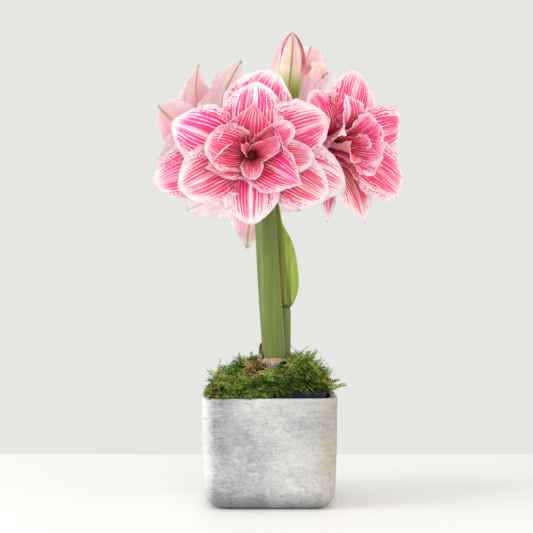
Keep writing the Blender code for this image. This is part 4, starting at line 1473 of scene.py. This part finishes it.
@dataclass
class MossBed:
    """Sheet moss heaped round the bulb's neck: a mat painted near black as the shade under the shoots,
    feathery shoots and dry straws.

    No shoot ends below the rims, or before the neck's front, where clear_x, clear_height, clear_at,
    clear_half and clear_top keep the skins in view. Angles are in radians, or degrees for clear_at,
    clear_half and bare_from.
    """

    neck: BulbNeck
    pots: Pots
    soil_top: float = 0.1154
    gap: float = 0.0003
    top: float = 0.1605
    bare_side: float = math.radians(345.0)
    dip_side: float = math.radians(258.0)
    dip_depth: float = 0.0105
    fringe: tuple[float, float] = (math.radians(182.0), math.radians(289.0))
    sections: int = 120
    shoots: int = 2900
    straws: int = 240
    fringe_every: int = 5
    fringe_share: float = 0.1
    edge_share: float = 0.12
    shoot_reach: float = 0.019
    skirt_height: float = 0.0035
    rim_height: float = 0.1229
    bare_height: float = 0.1296
    bare_from: float = 284.0
    clear_x: tuple[float, float] = (-0.0110, 0.0285)
    clear_height: float = 0.1535
    clear_at: float = 257.0
    clear_half: float = 12.0
    clear_top: float = 0.1505
    standing: tuple[tuple[float, float, float, float, float], ...] = (
        (0.0360, 0.1460, 0.0318, 0.1680, 0.010),
        (0.0414, 0.1450, 0.0494, 0.1722, 0.000),
        (0.0400, 0.1460, 0.0420, 0.1700, 0.006),
        (0.0459, 0.1420, 0.0551, 0.1563, -0.006),
        (0.0551, 0.1300, 0.0676, 0.1506, -0.010),
        (0.0600, 0.1360, 0.0642, 0.1545, -0.010),
        (0.0595, 0.1290, 0.0768, 0.1414, -0.014),
        (0.0620, 0.1270, 0.0850, 0.1369, -0.020),
        (0.0640, 0.1260, 0.0720, 0.1262, -0.030),
        (-0.0237, 0.1460, -0.0340, 0.1631, -0.004),
        (-0.0300, 0.1450, -0.0280, 0.1625, 0.004),
        (-0.0400, 0.1420, -0.0460, 0.1560, 0.000),
        (-0.0454, 0.1370, -0.0545, 0.1528, -0.008),
        (-0.0540, 0.1290, -0.0659, 0.1403, -0.012),
        (-0.0600, 0.1250, -0.0735, 0.1300, -0.016),
        (0.0110, 0.1500, 0.0200, 0.1610, 0.050),
        (-0.0300, 0.1500, -0.0380, 0.1640, 0.040),
        (0.0500, 0.1400, 0.0600, 0.1560, 0.040),
    )

    def spill(self, angle: float) -> float:
        """How far the moss spills over the plastic rim, 0 to 1."""
        return min(1.0, max(0.0, 0.5 - 1.5 * math.cos(angle - self.bare_side)))

    def past_plastic(self, angle: float) -> float:
        """How far from the pot's middle the plastic rim lies, with 2 mm to spare."""
        return square_reach(self.pots.nursery_width / 2.0 + 0.002, self.pots.nursery_corner, angle)

    def ends(self, angle: float) -> tuple[Vector, Vector]:
        """The mound's foot and shoulder in a direction from the pot's middle.

        Args:
            angle: The direction.

        Returns:
            The two points.
        """
        outward = Vector((math.cos(angle), math.sin(angle), 0.0))
        inner = self.past_plastic(angle) + 0.002
        rim = square_reach(self.pots.width / 2.0 - 0.001, self.pots.corner, angle)
        spill = self.spill(angle)
        uneven = 0.85 + 0.15 * noise.noise(outward * 3.0)
        outer = inner + (rim - inner) * spill * uneven
        skirt = self.pots.nursery_top + 2.0 * self.gap
        skirt -= (self.pots.nursery_top - self.pots.height) * spill
        dip = self.dip_depth * max(0.0, math.cos(angle - self.dip_side)) ** 24
        crest = self.top + 0.0015 * noise.noise(outward * 5.0) - dip
        crest -= 0.0045 * max(0.0, -math.cos(angle)) + 0.0015 * max(0.0, math.cos(angle))
        foot = outward * outer + UP * (skirt + self.skirt_height)
        shoulder = self.neck.point(angle, 0.0050) + UP * crest
        return foot, shoulder

    def surface(self, angle: float, share: float) -> Vector:
        """A point on the mound, from its foot (0) to its shoulder (1).

        Args:
            angle: The direction from the pot's middle.
            share: How far up it is.

        Returns:
            The point.
        """
        foot, shoulder = self.ends(angle)
        point = foot.lerp(shoulder, share)
        lumps = 0.0030 * noise.noise(point * 75.0)
        return point + UP * (0.0010 * math.sin(math.pi * share) + lumps)

    def section(self, angle: float) -> list[Vector]:
        """Points round a closed cut through the mat.

        Args:
            angle: The cut's direction.

        Returns:
            The points, in order.
        """
        outward = Vector((math.cos(angle), math.sin(angle), 0.0))
        foot, shoulder = self.ends(angle)
        floor = self.soil_top + 2.0 * self.gap
        over = self.pots.nursery_top + 2.0 * self.gap
        half = self.pots.nursery_width / 2.0 - self.pots.nursery_wall
        wall_in = square_reach(half - 0.0022, self.pots.nursery_corner, angle)
        wall_out = self.past_plastic(angle)
        points = [
            self.neck.point(angle, 0.0030) + UP * self.neck.foot,
            self.neck.point(angle, 0.0115) + UP * 0.1270,
            self.neck.point(angle, 0.0185) + UP * floor,
        ]
        for distance, height in ((wall_in, floor), (wall_in, over), (wall_out, over)):
            points.append(outward * distance + UP * height)
        points += [Vector((foot.x, foot.y, foot.z - self.skirt_height)), foot]
        points += [self.surface(angle, step / 16.0) for step in range(1, 16)]
        points += [shoulder, self.neck.point(angle, 0.0030) + UP * (shoulder.z - 0.001)]
        return points

    def build_mat(self, finish: bpy.types.Material) -> bpy.types.Object:
        """Make the mat under the shoots, one closed ring round the neck, whose near-black finish is painted
        shade.

        Args:
            finish: Its material.

        Returns:
            The piece.
        """
        cuts = [self.section(math.tau * step / self.sections) for step in range(self.sections)]
        around = len(cuts[0])
        bm = bmesh.new()
        grid = bmesh.ops.create_grid(bm, x_segments=self.sections, y_segments=around, size=0.5)["verts"]
        for vert in grid:
            column = round((vert.co.x + 0.5) * self.sections) % self.sections
            row = round((vert.co.y + 0.5) * around) % around
            vert.co = cuts[column][row]
        return link_piece("moss_mat", mesh_of("moss_mat", bm), [finish], ["moss"])

    def shoot(
        self, length: float, bend: float, sideways: float, pairs: int, leaf: float, draw: random.Random
    ) -> bpy.types.Mesh:
        """One feathery shoot: a bent stem with pairs of short pointed leaves.

        Args:
            length: Its length.
            bend: How far its tip drops.
            sideways: How far its tip turns to the side.
            pairs: The number of pairs.
            leaf: The length of its longest leaves.
            draw: The seeded draw.

        Returns:
            Its mesh, with its root at the origin and its stem along Y.
        """

        def stem(share: float) -> Vector:
            """A point on the stem, from its root (0) to its tip (1)."""
            return Vector((sideways * share**2, length * share, bend * share * (share - 0.55)))

        bm = bmesh.new()
        grid = bmesh.ops.create_grid(bm, x_segments=1, y_segments=4, size=0.5)["verts"]
        for vert in grid:
            share = vert.co.y + 0.5
            vert.co = stem(share) + Vector((vert.co.x * 0.0010 * (1.1 - share), 0.0, 0.0))
        diamond = Matrix.Translation((0.5, 0.0, 0.0)) @ Matrix.Rotation(math.pi / 4.0, 4, "Z")
        diamond = diamond @ Matrix.Scale(math.sqrt(0.5), 4)
        for pair in range(pairs):
            share = 0.08 + 0.92 * pair / pairs
            reach = leaf * (1.0 - 0.55 * share) * draw.uniform(0.75, 1.2)
            for hand in (-1.0, 1.0):
                lean = Matrix.Rotation(math.pi / 2.0 - hand * draw.uniform(0.55, 1.05), 4, "Z")
                droop = Matrix.Rotation(draw.uniform(-0.8, 0.6), 4, "Y")
                roll = Matrix.Rotation(draw.uniform(-0.7, 0.7), 4, "X")
                size = Matrix.Diagonal((reach, 0.44 * reach, 1.0, 1.0))
                place = Matrix.Translation(stem(share)) @ lean @ droop @ roll @ size @ diamond
                bmesh.ops.create_grid(bm, x_segments=1, y_segments=1, size=0.5, matrix=place)
        mesh = bpy.data.meshes.new("shoot")
        bm.to_mesh(mesh)
        bm.free()
        return mesh

    def straw(self, length: float, curl: float, draw: random.Random) -> bpy.types.Mesh:
        """One dry straw: a thin curled three-sided strand along Y.

        Args:
            length: Its length.
            curl: How far round it curls, in radians.
            draw: The seeded draw.

        Returns:
            Its mesh.
        """
        bm = bmesh.new()
        points = []
        for step in range(6):
            turn = curl * step / 5.0
            aside = 0.3 * length * (1.0 - math.cos(turn))
            points.append(Vector((aside, length * step / 5.0, 0.3 * length * math.sin(turn))))
        radius = 0.00035 * draw.uniform(0.8, 1.2)
        loft(bm, round_stations(points, [radius] * len(points)), 3)
        bmesh.ops.triangulate(bm, faces=bm.faces)
        mesh = bpy.data.meshes.new("straw")
        bm.to_mesh(mesh)
        bm.free()
        return mesh

    def allowed(self, angle: float, share: float, tip: Vector) -> bool:
        """Whether a shoot may end there: inside the pot's edge, off the bare rim and off the neck's front.

        Args:
            angle: Its direction from the pot's middle.
            share: How far up the mound it grows.
            tip: Its tip.

        Returns:
            Whether it may.
        """
        if abs(tip.x) > self.pots.width / 2.0 - 0.0030 or abs(tip.y) > self.pots.width / 2.0 + 0.0012:
            return False
        front = math.degrees(angle) % 360.0
        bare = self.spill(angle) < 0.2 and front > self.bare_from
        if tip.z < (self.bare_height if bare else self.rim_height):
            return False
        before_neck = tip.y < 0.002 and self.clear_x[0] < tip.x < self.clear_x[1]
        if before_neck and tip.z > self.clear_height:
            return False
        clear = abs(front - self.clear_at) < self.clear_half
        return not (clear and (share > 0.85 or tip.z > self.clear_top))

    def places(
        self, count: int, lift: tuple[float, float], draw: random.Random
    ) -> list[tuple[Matrix, float]]:
        """Draw places for shoots on the mound.

        Args:
            count: How many.
            lift: The least and most that a shoot stands up from the mound, as a share.
            draw: The seeded draw.

        Returns:
            For each, its matrix and how far up the mound it is.
        """
        found = []
        while len(found) < count:
            angle = draw.uniform(0.0, math.tau)
            share = draw.uniform(0.0, 1.0) ** 1.8
            if len(found) % self.fringe_every == 0:
                # a fringe that hangs over the rim, thickest at the front
                angle, share = draw.uniform(*self.fringe), draw.uniform(0.0, self.fringe_share)
            root = self.surface(angle, share)
            above, below = min(share + 0.05, 1.0), max(share - 0.05, 0.0)
            ahead = (self.surface(angle, above) - self.surface(angle, below)).normalized()
            round_way = (self.surface(angle + 0.05, share) - self.surface(angle - 0.05, share)).normalized()
            normal = round_way.cross(ahead).normalized()
            if normal.z < 0.0:
                normal.negate()
            turn = draw.gauss(0.0, 1.3)
            level = -ahead * math.cos(turn) + round_way * math.sin(turn)
            stem = (level + normal * draw.uniform(*lift)).normalized()
            if share < self.edge_share:
                along = round_way * draw.choice((-1.0, 1.0)) * draw.uniform(0.3, 1.2)
                stem = (along - ahead * draw.uniform(-0.1, 0.5) + UP * draw.uniform(-0.6, 0.1)).normalized()
            size = draw.uniform(0.7, 1.3) if share >= self.edge_share else draw.uniform(0.5, 0.9)
            if not self.allowed(angle, share, root + stem * self.shoot_reach * size):
                continue
            across = stem.cross(normal).normalized()
            basis = Matrix((across, stem, across.cross(stem))).transposed().to_4x4()
            place = Matrix.Translation(root - normal * 0.001) @ basis @ Matrix.Scale(size, 4)
            found.append((place, share))
        return found

    def standing_places(
        self, spots: Sequence[tuple[float, float, float, float, float]], length: float
    ) -> list[tuple[Matrix, float]]:
        """Places for shoots that stand clear of the mound, with their flat side to the front.

        Args:
            spots: The X and Z of each root and tip, and the Y of both.
            length: The shoot's own length.

        Returns:
            As places does.
        """
        found = []
        for root_x, root_z, tip_x, tip_z, depth in spots:
            root, tip = Vector((root_x, depth, root_z)), Vector((tip_x, depth - 0.002, tip_z))
            stem = (tip - root).normalized()
            across = stem.cross(Vector((0.0, -1.0, 0.0))).normalized()
            basis = Matrix((across, stem, across.cross(stem))).transposed().to_4x4()
            size = Matrix.Scale((tip - root).length / length, 4)
            found.append((Matrix.Translation(root) @ basis @ size, 0.8))
        return found

    def scatter(
        self,
        name: str,
        kinds: Sequence[bpy.types.Mesh],
        places: Sequence[tuple[Matrix, float]],
        ages: tuple[float, float],
        finish: bpy.types.Material,
        draw: random.Random,
    ) -> bpy.types.Object:
        """Repeat small meshes at their places in one piece.

        Args:
            name: The piece's name.
            kinds: The meshes to repeat.
            places: Where, and how far up the mound.
            ages: The least and most age, from fresh (0) to brown (1).
            finish: The material.
            draw: The seeded draw.

        Returns:
            The piece.
        """
        verts, faces, tones = [], [], []
        start = 0
        for matrix, share in places:
            kind = draw.choice(kinds)
            coordinates = np.empty(len(kind.vertices) * 3)
            kind.vertices.foreach_get("co", coordinates)
            turn = np.array(matrix.to_3x3())
            placed = coordinates.reshape(-1, 3) @ turn.T + np.array(matrix.translation)
            verts.append(placed)
            faces.append(np.array([face.vertices[:] for face in kind.polygons]) + start)
            start += len(placed)
            age = self.age(matrix.translation, ages, draw)
            # each shoot's age, a drawn factor for its painted light and shade, and how far up the mound it
            # is
            tones.append(np.tile((age, draw.uniform(0.2, 1.0), share), (len(placed), 1)))
        mesh = bpy.data.meshes.new(name)
        mesh.from_pydata(np.concatenate(verts).tolist(), [], np.concatenate(faces).tolist())
        shoot = mesh.attributes.new("shoot", "FLOAT_VECTOR", "POINT")
        shoot.data.foreach_set("vector", np.concatenate(tones).ravel())
        return link_piece(name, mesh, [finish])

    def age(self, place: Vector, ages: tuple[float, float], draw: random.Random) -> float:
        """A shoot's age: patches of fresh and of dry moss, drier on the left, with a draw for each shoot;
        the low ages are drawn in the shaded green, a painted shade.

        Args:
            place: Where it grows.
            ages: The least and most age.
            draw: The seeded draw.

        Returns:
            Its age, from fresh (0), drawn in the shaded green of painted shade, to brown (1).
        """
        patch = 0.38 + 1.0 * noise.noise(place * 42.0) - 1.5 * place.x + 4.0 * (place.z - 0.138)
        patch += draw.gauss(0.0, 0.15)
        return ages[0] + (ages[1] - ages[0]) * min(1.0, max(0.0, patch))

    def build_shoots(self, finish: bpy.types.Material) -> None:
        """Make the shoots in two pieces, the standing ones, and the straws.

        Args:
            finish: Their material.
        """
        draw = random.Random(23)
        kinds = [
            self.shoot(
                draw.uniform(0.012, 0.022),
                draw.uniform(-0.020, 0.006),
                draw.uniform(-0.010, 0.010),
                11,
                draw.uniform(0.0036, 0.0052),
                draw,
            )
            for _ in range(9)
        ]
        half = self.shoots // 2
        low = self.places(half, (0.0, 0.4), draw)
        self.scatter("moss_shoots_low", kinds, low, (0.0, 0.95), finish, draw)
        high = self.places(half, (0.1, 1.0), draw)
        self.scatter("moss_shoots_high", kinds, high, (0.10, 0.85), finish, draw)
        length = 0.020
        tall = [self.shoot(length, -0.004, 0.003, 16, 0.0048, draw) for _ in range(3)]
        standing = self.standing_places(self.standing, length)
        self.scatter("moss_shoots_standing", tall, standing, (0.28, 0.52), finish, draw)
        straws = [self.straw(draw.uniform(0.010, 0.018), draw.uniform(1.5, 4.5), draw) for _ in range(6)]
        strewn = self.places(self.straws, (0.05, 0.5), draw)
        self.scatter("moss_straws", straws, strewn, (0.62, 1.0), finish, draw)
        for mesh in kinds + tall + straws:
            bpy.data.meshes.remove(mesh)


@dataclass
class Studio:
    """A pale table top, soft light from the left, and the camera of the photograph."""

    eye: tuple[float, float, float] = (-0.0037, -1.575, 0.2664)
    lens_mm: float = 93.2
    sensor_mm: float = 36.0
    table: float = 0.771
    room: str = "#E6E7E3"
    white: str = "#F1F1F0"
    aim: float = 0.28
    lights: tuple[tuple[str, tuple[float, float, float], float, float, str], ...] = (
        ("window", (-2.0, -0.8, 0.9), 1.4, 34.0, "#FCFDFF"),
        ("front_fill", (0.2, -2.2, 0.9), 1.6, 13.0, "#FFFDFD"),
        ("warm_wall", (1.5, -0.6, 0.5), 1.2, 7.0, "#FFF1E2"),
    )

    def build(self) -> None:
        """Make the floor, the lights and the camera."""
        scene = bpy.context.scene
        scene.view_settings.view_transform = "Standard"
        camera = bpy.data.cameras.new("camera")
        camera.lens = self.lens_mm
        camera.sensor_width = self.sensor_mm
        camera.clip_start = 0.01
        eye = bpy.data.objects.new("camera", camera)
        eye.location = self.eye
        eye.rotation_euler = (math.radians(90.0), 0.0, 0.0)
        scene.collection.objects.link(eye)
        scene.camera = eye
        self.build_floor()
        self.build_world(scene)
        for name, place, size, power, colour in self.lights:
            self.add_light(name, place, size, power, colour)

    def build_floor(self) -> None:
        """Make the floor: a matt white board, whose far edge lies where the table ends."""
        bm = bmesh.new()
        bmesh.ops.create_grid(bm, x_segments=1, y_segments=1, size=self.table / 2.0)
        mesh = bpy.data.meshes.new("floor")
        bm.to_mesh(mesh)
        bm.free()
        board = Graph("matt_board", Roughness=0.55, Specular_IOR_Level=0.25)
        place = board.add("TexCoord", {}).outputs["Object"]
        cloud = board.add("TexNoise", {"Vector": place, "Scale": 2.0})
        tone = board.add("MixRGB", {0: cloud, 1: linear(self.white), 2: linear("#F4F3F2")})
        mesh.materials.append(board.finish(tone))
        floor = bpy.data.objects.new("floor", mesh)
        bpy.context.scene.collection.objects.link(floor)

    def build_world(self, scene: bpy.types.Scene) -> None:
        """Light the room evenly in the colour of its wall.

        Args:
            scene: The scene.
        """
        world = bpy.data.worlds.new("room")
        world.use_nodes = True
        background = world.node_tree.nodes["Background"]
        background.inputs["Color"].default_value = linear(self.room)
        background.inputs["Strength"].default_value = 1.0
        scene.world = world

    def add_light(
        self, name: str, place: tuple[float, float, float], size: float, power: float, colour: str
    ) -> None:
        """Add a square soft light that faces the plant.

        Args:
            name: Its name.
            place: Where it hangs.
            size: Its width.
            power: Its power in watts.
            colour: Its hex colour.
        """
        light = bpy.data.lights.new(name, "AREA")
        light.size = size
        light.energy = power
        light.color = linear(colour)[:3]
        lamp = bpy.data.objects.new(name, light)
        lamp.location = place
        lamp.rotation_euler = (UP * self.aim - Vector(place)).to_track_quat("-Z", "Y").to_euler()
        bpy.context.scene.collection.objects.link(lamp)


FRONT = Bloom(
    "bloom_front",
    (-0.021, -0.084, 0.3864),
    1.0,
    -5.0,
    (
        Tepal(
            354, 0.107, -0.006, 0.066, arch=0.012, sway=-0.027,
            twist=8.0, rich=0.70, coral=0.35, bold=0.2,
        ),
        Tepal(103, 0.083, 0.002, 0.078, arch=0.010, cup=-0.1, sway=-0.048, frill=1.5, rich=0.86, bold=0.1),
        Tepal(
            187, 0.109, -0.008, 0.066, arch=0.012, sway=0.021,
            twist=-10.0, frill=1.3, rich=0.84, bold=0.4,
        ),
        Tepal(36, 0.092, 0.010, 0.070, sway=-0.019, twist=12.0, frill=1.4, rich=0.74, bold=0.5),
        Tepal(89, 0.080, 0.010, 0.066, sway=-0.004, twist=-14.0, frill=1.4, rich=0.74, bold=0.9),
        Tepal(150, 0.091, 0.010, 0.066, sway=0.012, twist=10.0, frill=1.1, rich=0.82, bold=0.7),
        Tepal(206, 0.086, 0.012, 0.066, twist=-8.0, frill=1.3, rich=0.66, coral=0.45, bold=0.4),
        Tepal(270, 0.075, 0.008, 0.060, frill=1.1, rich=0.62, coral=0.10, bold=0.9),
        Tepal(331, 0.096, 0.010, 0.062, twist=9.0, frill=1.4, rich=0.70, coral=0.6, bold=0.3),
        Tepal(
            94, 0.059, 0.031, 0.080, arch=0.010, cup=0.3, sway=-0.009, roll=0.006, twist=-8.0,
            widest=0.42, point=0.25, frill=1.4, rich=0.95, coral=0.35, bold=0.15,
        ),
        Tepal(
            162, 0.050, 0.032, 0.052, arch=0.010, cup=0.35, roll=0.004, twist=16.0, point=0.0,
            frill=1.5, rich=0.95, coral=0.3, bold=0.0,
        ),
        Tepal(
            206, 0.050, 0.031, 0.044, arch=0.008, cup=0.2, sway=-0.010, roll=0.007, twist=-14.0,
            widest=0.5, point=0.45, rich=0.72, coral=0.6, bold=0.0,
        ),
        Tepal(
            331, 0.064, 0.030, 0.054, arch=0.010, cup=0.1, twist=10.0, widest=0.52, point=0.45,
            frill=1.4, rich=0.84, bold=0.4,
        ),
        Tepal(
            36, 0.056, 0.030, 0.034, arch=0.010, cup=0.6, wave=0.006, waves=5.0, roll=0.004, point=0.0,
            frill=2.4, rich=0.80, bold=0.0,
        ),
        Tepal(
            358, 0.069, 0.022, 0.038, arch=0.010, cup=0.3,
            point=0.0, frill=2.0, rich=0.72, coral=0.7, bold=0.0,
        ),
    ),
    (
        Tepal(275, 0.026, 0.028, 0.024, arch=0.006, cup=0.5, wave=0.0015, rich=0.9, coral=0.6, bold=0.0),
        Tepal(
            32, 0.037, 0.036, 0.024, arch=0.006, cup=0.9,
            wave=0.002, twist=40.0, rich=0.9, coral=0.3, bold=0.0,
        ),
        Tepal(128, 0.016, 0.034, 0.012, arch=0.004, cup=0.2, wave=0.0015, twist=65.0, rich=1.0, bold=0.0),
    ),
    seed=3,
)
RIGHT = Bloom(
    "bloom_right",
    (0.066, -0.045, 0.4034),
    46.0,
    -7.0,
    (
        Tepal(69, 0.090, 0.005, 0.066, twist=-8.0, frill=1.4, rich=0.84, bold=0.5),
        Tepal(130, 0.070, 0.004, 0.060, twist=8.0, frill=1.4, rich=0.86, bold=0.2),
        Tepal(17, 0.093, 0.028, 0.066, twist=10.0, point=0.05, frill=1.4, rich=0.78, bold=0.3),
        Tepal(335, 0.112, 0.028, 0.060, frill=1.3, rich=0.72, coral=0.35, bold=0.3),
        Tepal(306, 0.110, 0.008, 0.054, widest=0.52, point=0.5, frill=0.9, rich=0.60, coral=0.8, green=1.0),
        Tepal(42, 0.092, 0.000, 0.056, arch=0.012, rich=0.72),
        Tepal(
            284, 0.093, -0.012, 0.050, arch=0.010, widest=0.52,
            point=0.4, rich=0.60, coral=0.8, green=1.0,
        ),
        Tepal(122, 0.064, 0.044, 0.048, arch=0.010, cup=0.35, widest=0.5, point=0.3, rich=0.84, bold=0.9),
        Tepal(65, 0.036, 0.046, 0.048, arch=0.010, cup=0.35, point=0.0, rich=0.88, bold=0.2),
        Tepal(0, 0.036, 0.044, 0.046, arch=0.010, cup=0.35, point=0.0, frill=1.5, rich=0.90, bold=0.0),
        Tepal(326, 0.040, 0.045, 0.044, arch=0.010, cup=0.35, point=0.0, frill=1.5, rich=0.86, bold=0.1),
    ),
    (
        Tepal(55, 0.012, 0.048, 0.022, arch=0.006, cup=0.4, wave=0.002, rich=0.9),
        Tepal(232, 0.022, 0.044, 0.022, arch=0.006, cup=0.5, wave=0.002, rich=1.0, bold=0.0),
    ),
    seed=5,
)
LEFT = Bloom(
    "bloom_left",
    (-0.066, 0.030, 0.4064),
    232.0,
    12.0,
    (
        Tepal(26, 0.086, 0.024, 0.054, widest=0.60, point=0.35, frill=0.8, rich=0.68, green=0.9),
        Tepal(81, 0.092, 0.028, 0.056, widest=0.59, point=0.35, frill=0.8, rich=0.70, green=0.9),
        Tepal(112, 0.112, 0.012, 0.060, widest=0.60, point=0.35, frill=0.8, green=1.0),
        Tepal(158, 0.082, 0.010, 0.050),
        Tepal(206, 0.056, 0.026, 0.046),
        Tepal(252, 0.062, 0.032, 0.050),
        Tepal(316, 0.078, 0.006, 0.052),
        Tepal(352, 0.080, 0.004, 0.052),
        *(
            Tepal(angle, 0.052, lift, 0.044, arch=0.010, cup=0.3, rich=0.8)
            for angle, lift in ((55, 0.044), (175, 0.046), (300, 0.044))
        ),
    ),
    seed=7,
)
BACK = Bloom(
    "bloom_back",
    (0.0, 0.080, 0.3874),
    174.0,
    -12.0,
    (
        Tepal(
            317, 0.088, 0.000, 0.060, sway=-0.058, widest=0.61,
            point=0.25, frill=0.8, rich=0.86, green=0.9,
        ),
        Tepal(236, 0.068, 0.000, 0.050, rich=0.75, green=0.8),
        Tepal(180, 0.086, 0.008, 0.052),
        Tepal(128, 0.084, 0.004, 0.052),
        Tepal(72, 0.082, 0.010, 0.052),
        Tepal(22, 0.078, 0.012, 0.052),
        Tepal(333, 0.115, 0.014, 0.060, arch=0.012, widest=0.61, point=0.25, frill=0.8, green=0.4),
        *(
            Tepal(angle, 0.050, 0.038, 0.044, arch=0.010, cup=0.3, rich=0.8)
            for angle in (100, 215, 330)
        ),
    ),
    seed=11,
)
OPENING = Bloom(
    "bloom_opening",
    (0.030, 0.038, 0.4424),
    120.0,
    70.0,
    (
        Tepal(
            132, 0.020, 0.081, 0.044, belly=0.020, arch=0.000, cup=0.7, wave=0.002, widest=0.5,
            point=0.45, frill=0.7, rich=0.74, green=1.0,
        ),
        Tepal(
            196, 0.021, 0.066, 0.042, belly=0.022, arch=0.000, cup=0.4, wave=0.003, roll=-0.002,
            widest=0.58, point=0.25, frill=0.9, rich=0.62, green=0.2,
        ),
        Tepal(
            246, 0.024, 0.060, 0.038, belly=0.022, arch=0.002, cup=0.5, wave=0.003, widest=0.56,
            point=0.2, frill=0.8, rich=0.66, green=0.2,
        ),
        Tepal(300, 0.028, 0.054, 0.038, belly=0.022, arch=0.002, cup=0.5, wave=0.002, point=0.3, rich=0.74),
        Tepal(0, 0.022, 0.060, 0.036, belly=0.020, arch=0.000, cup=0.5, wave=0.002, point=0.3, rich=0.74),
        Tepal(70, 0.018, 0.070, 0.036, belly=0.020, arch=0.000, cup=0.6, wave=0.002, point=0.35, rich=0.74),
    ),
    seed=13,
)
BUD = FlowerBud(
    "flower_bud",
    (0.0190, 0.006, 0.4574),
    90.0,
    84.5,
    (
        Tepal(75, 0.002, 0.077, 1.55, belly=0.0, rich=0.80, coral=0.25, green=0.2, bold=0.3),
        Tepal(305, 0.002, 0.077, 1.55, belly=0.0001, rich=0.90, coral=0.95, green=0.2, bold=0.3),
        Tepal(185, 0.002, 0.078, 0.94, belly=0.0004, rich=0.64, green=1.0, bold=0.3),
    ),
    seed=17,
)


def main() -> None:
    """Load the frame, then build and dress every piece in order."""
    logging.basicConfig(level=logging.INFO, format="%(message)s")
    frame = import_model()
    Studio().build()
    face = StripedPetal(Side.FACE).build()
    back = StripedPetal(Side.BACK).build()
    tube = GrownGreen("flower_tube", "#BDB98A", "#8F9A52", "#E2CFB8").build()
    stem_green = GrownGreen("green_stem", "#627424", "#51651C", "#7C8848").build()
    bud_pink = GrownGreen("bud_core", "#D8728A", "#B8405E", "#EFC2C6").build()
    for bloom in (FRONT, RIGHT, LEFT, BACK, OPENING):
        bloom.build([face, back, tube])
    bud_skin = StripedPetal(Side.BUD).build()
    BUD.build([bud_skin, bud_skin.copy(), bud_pink])
    Scape().build((FRONT, RIGHT, LEFT, BACK, OPENING, BUD), stem_green)
    second = SecondScape()
    second.build_stem(stem_green)
    second.build_spathe(SpatheLeaf().build())
    pots = Pots()
    pots.build_concrete(CastConcrete().build())
    pots.build_nursery(MouldedPlastic().build())
    neck = BulbNeck()
    orange = PaperySkin("papery_skin_inner", "#E8C6A9", "#C88E68", "#84503A").build()
    grey = PaperySkin("papery_skin_outer", "#E4DFDC", "#A89A96", "#5E4A42").build()
    neck.build_tunic([orange, grey])
    flesh = GrownGreen("leaf_base", "#8E9A45", "#66702A", "#A0A26A").build()
    dried = PaperySkin("dried_edge", "#A5603C", "#7B3A28", "#4A2018").build()
    neck.build_stub("leaf_base_front", "leaf_stub_front", 178.0, 34.0, 0.1715, [flesh, dried])
    neck.build_stub("leaf_base_rear", "leaf_stub_rear", 130.0, 42.0, 0.1785, [flesh, dried])
    soil = Crumbly("potting_soil", "#1E1610", "#4A3626").build()
    frame["nodes"]["soil"].data.materials[0] = soil
    bulb = PaperySkin("bulb_scale", "#D8C9A8", "#A9825A", "#6B4A33").build()
    frame["nodes"]["bulb"].data.materials[0] = bulb
    bed = MossBed(neck, pots)
    # the mat's near-black colours are painted shade in the gaps between the shoots
    bed.build_mat(Crumbly("moss_mat", "#0D0E07", "#2C2C14", 2.2).build())
    bed.build_shoots(MossLeaf().build())


if __name__ == "__main__":
    main()
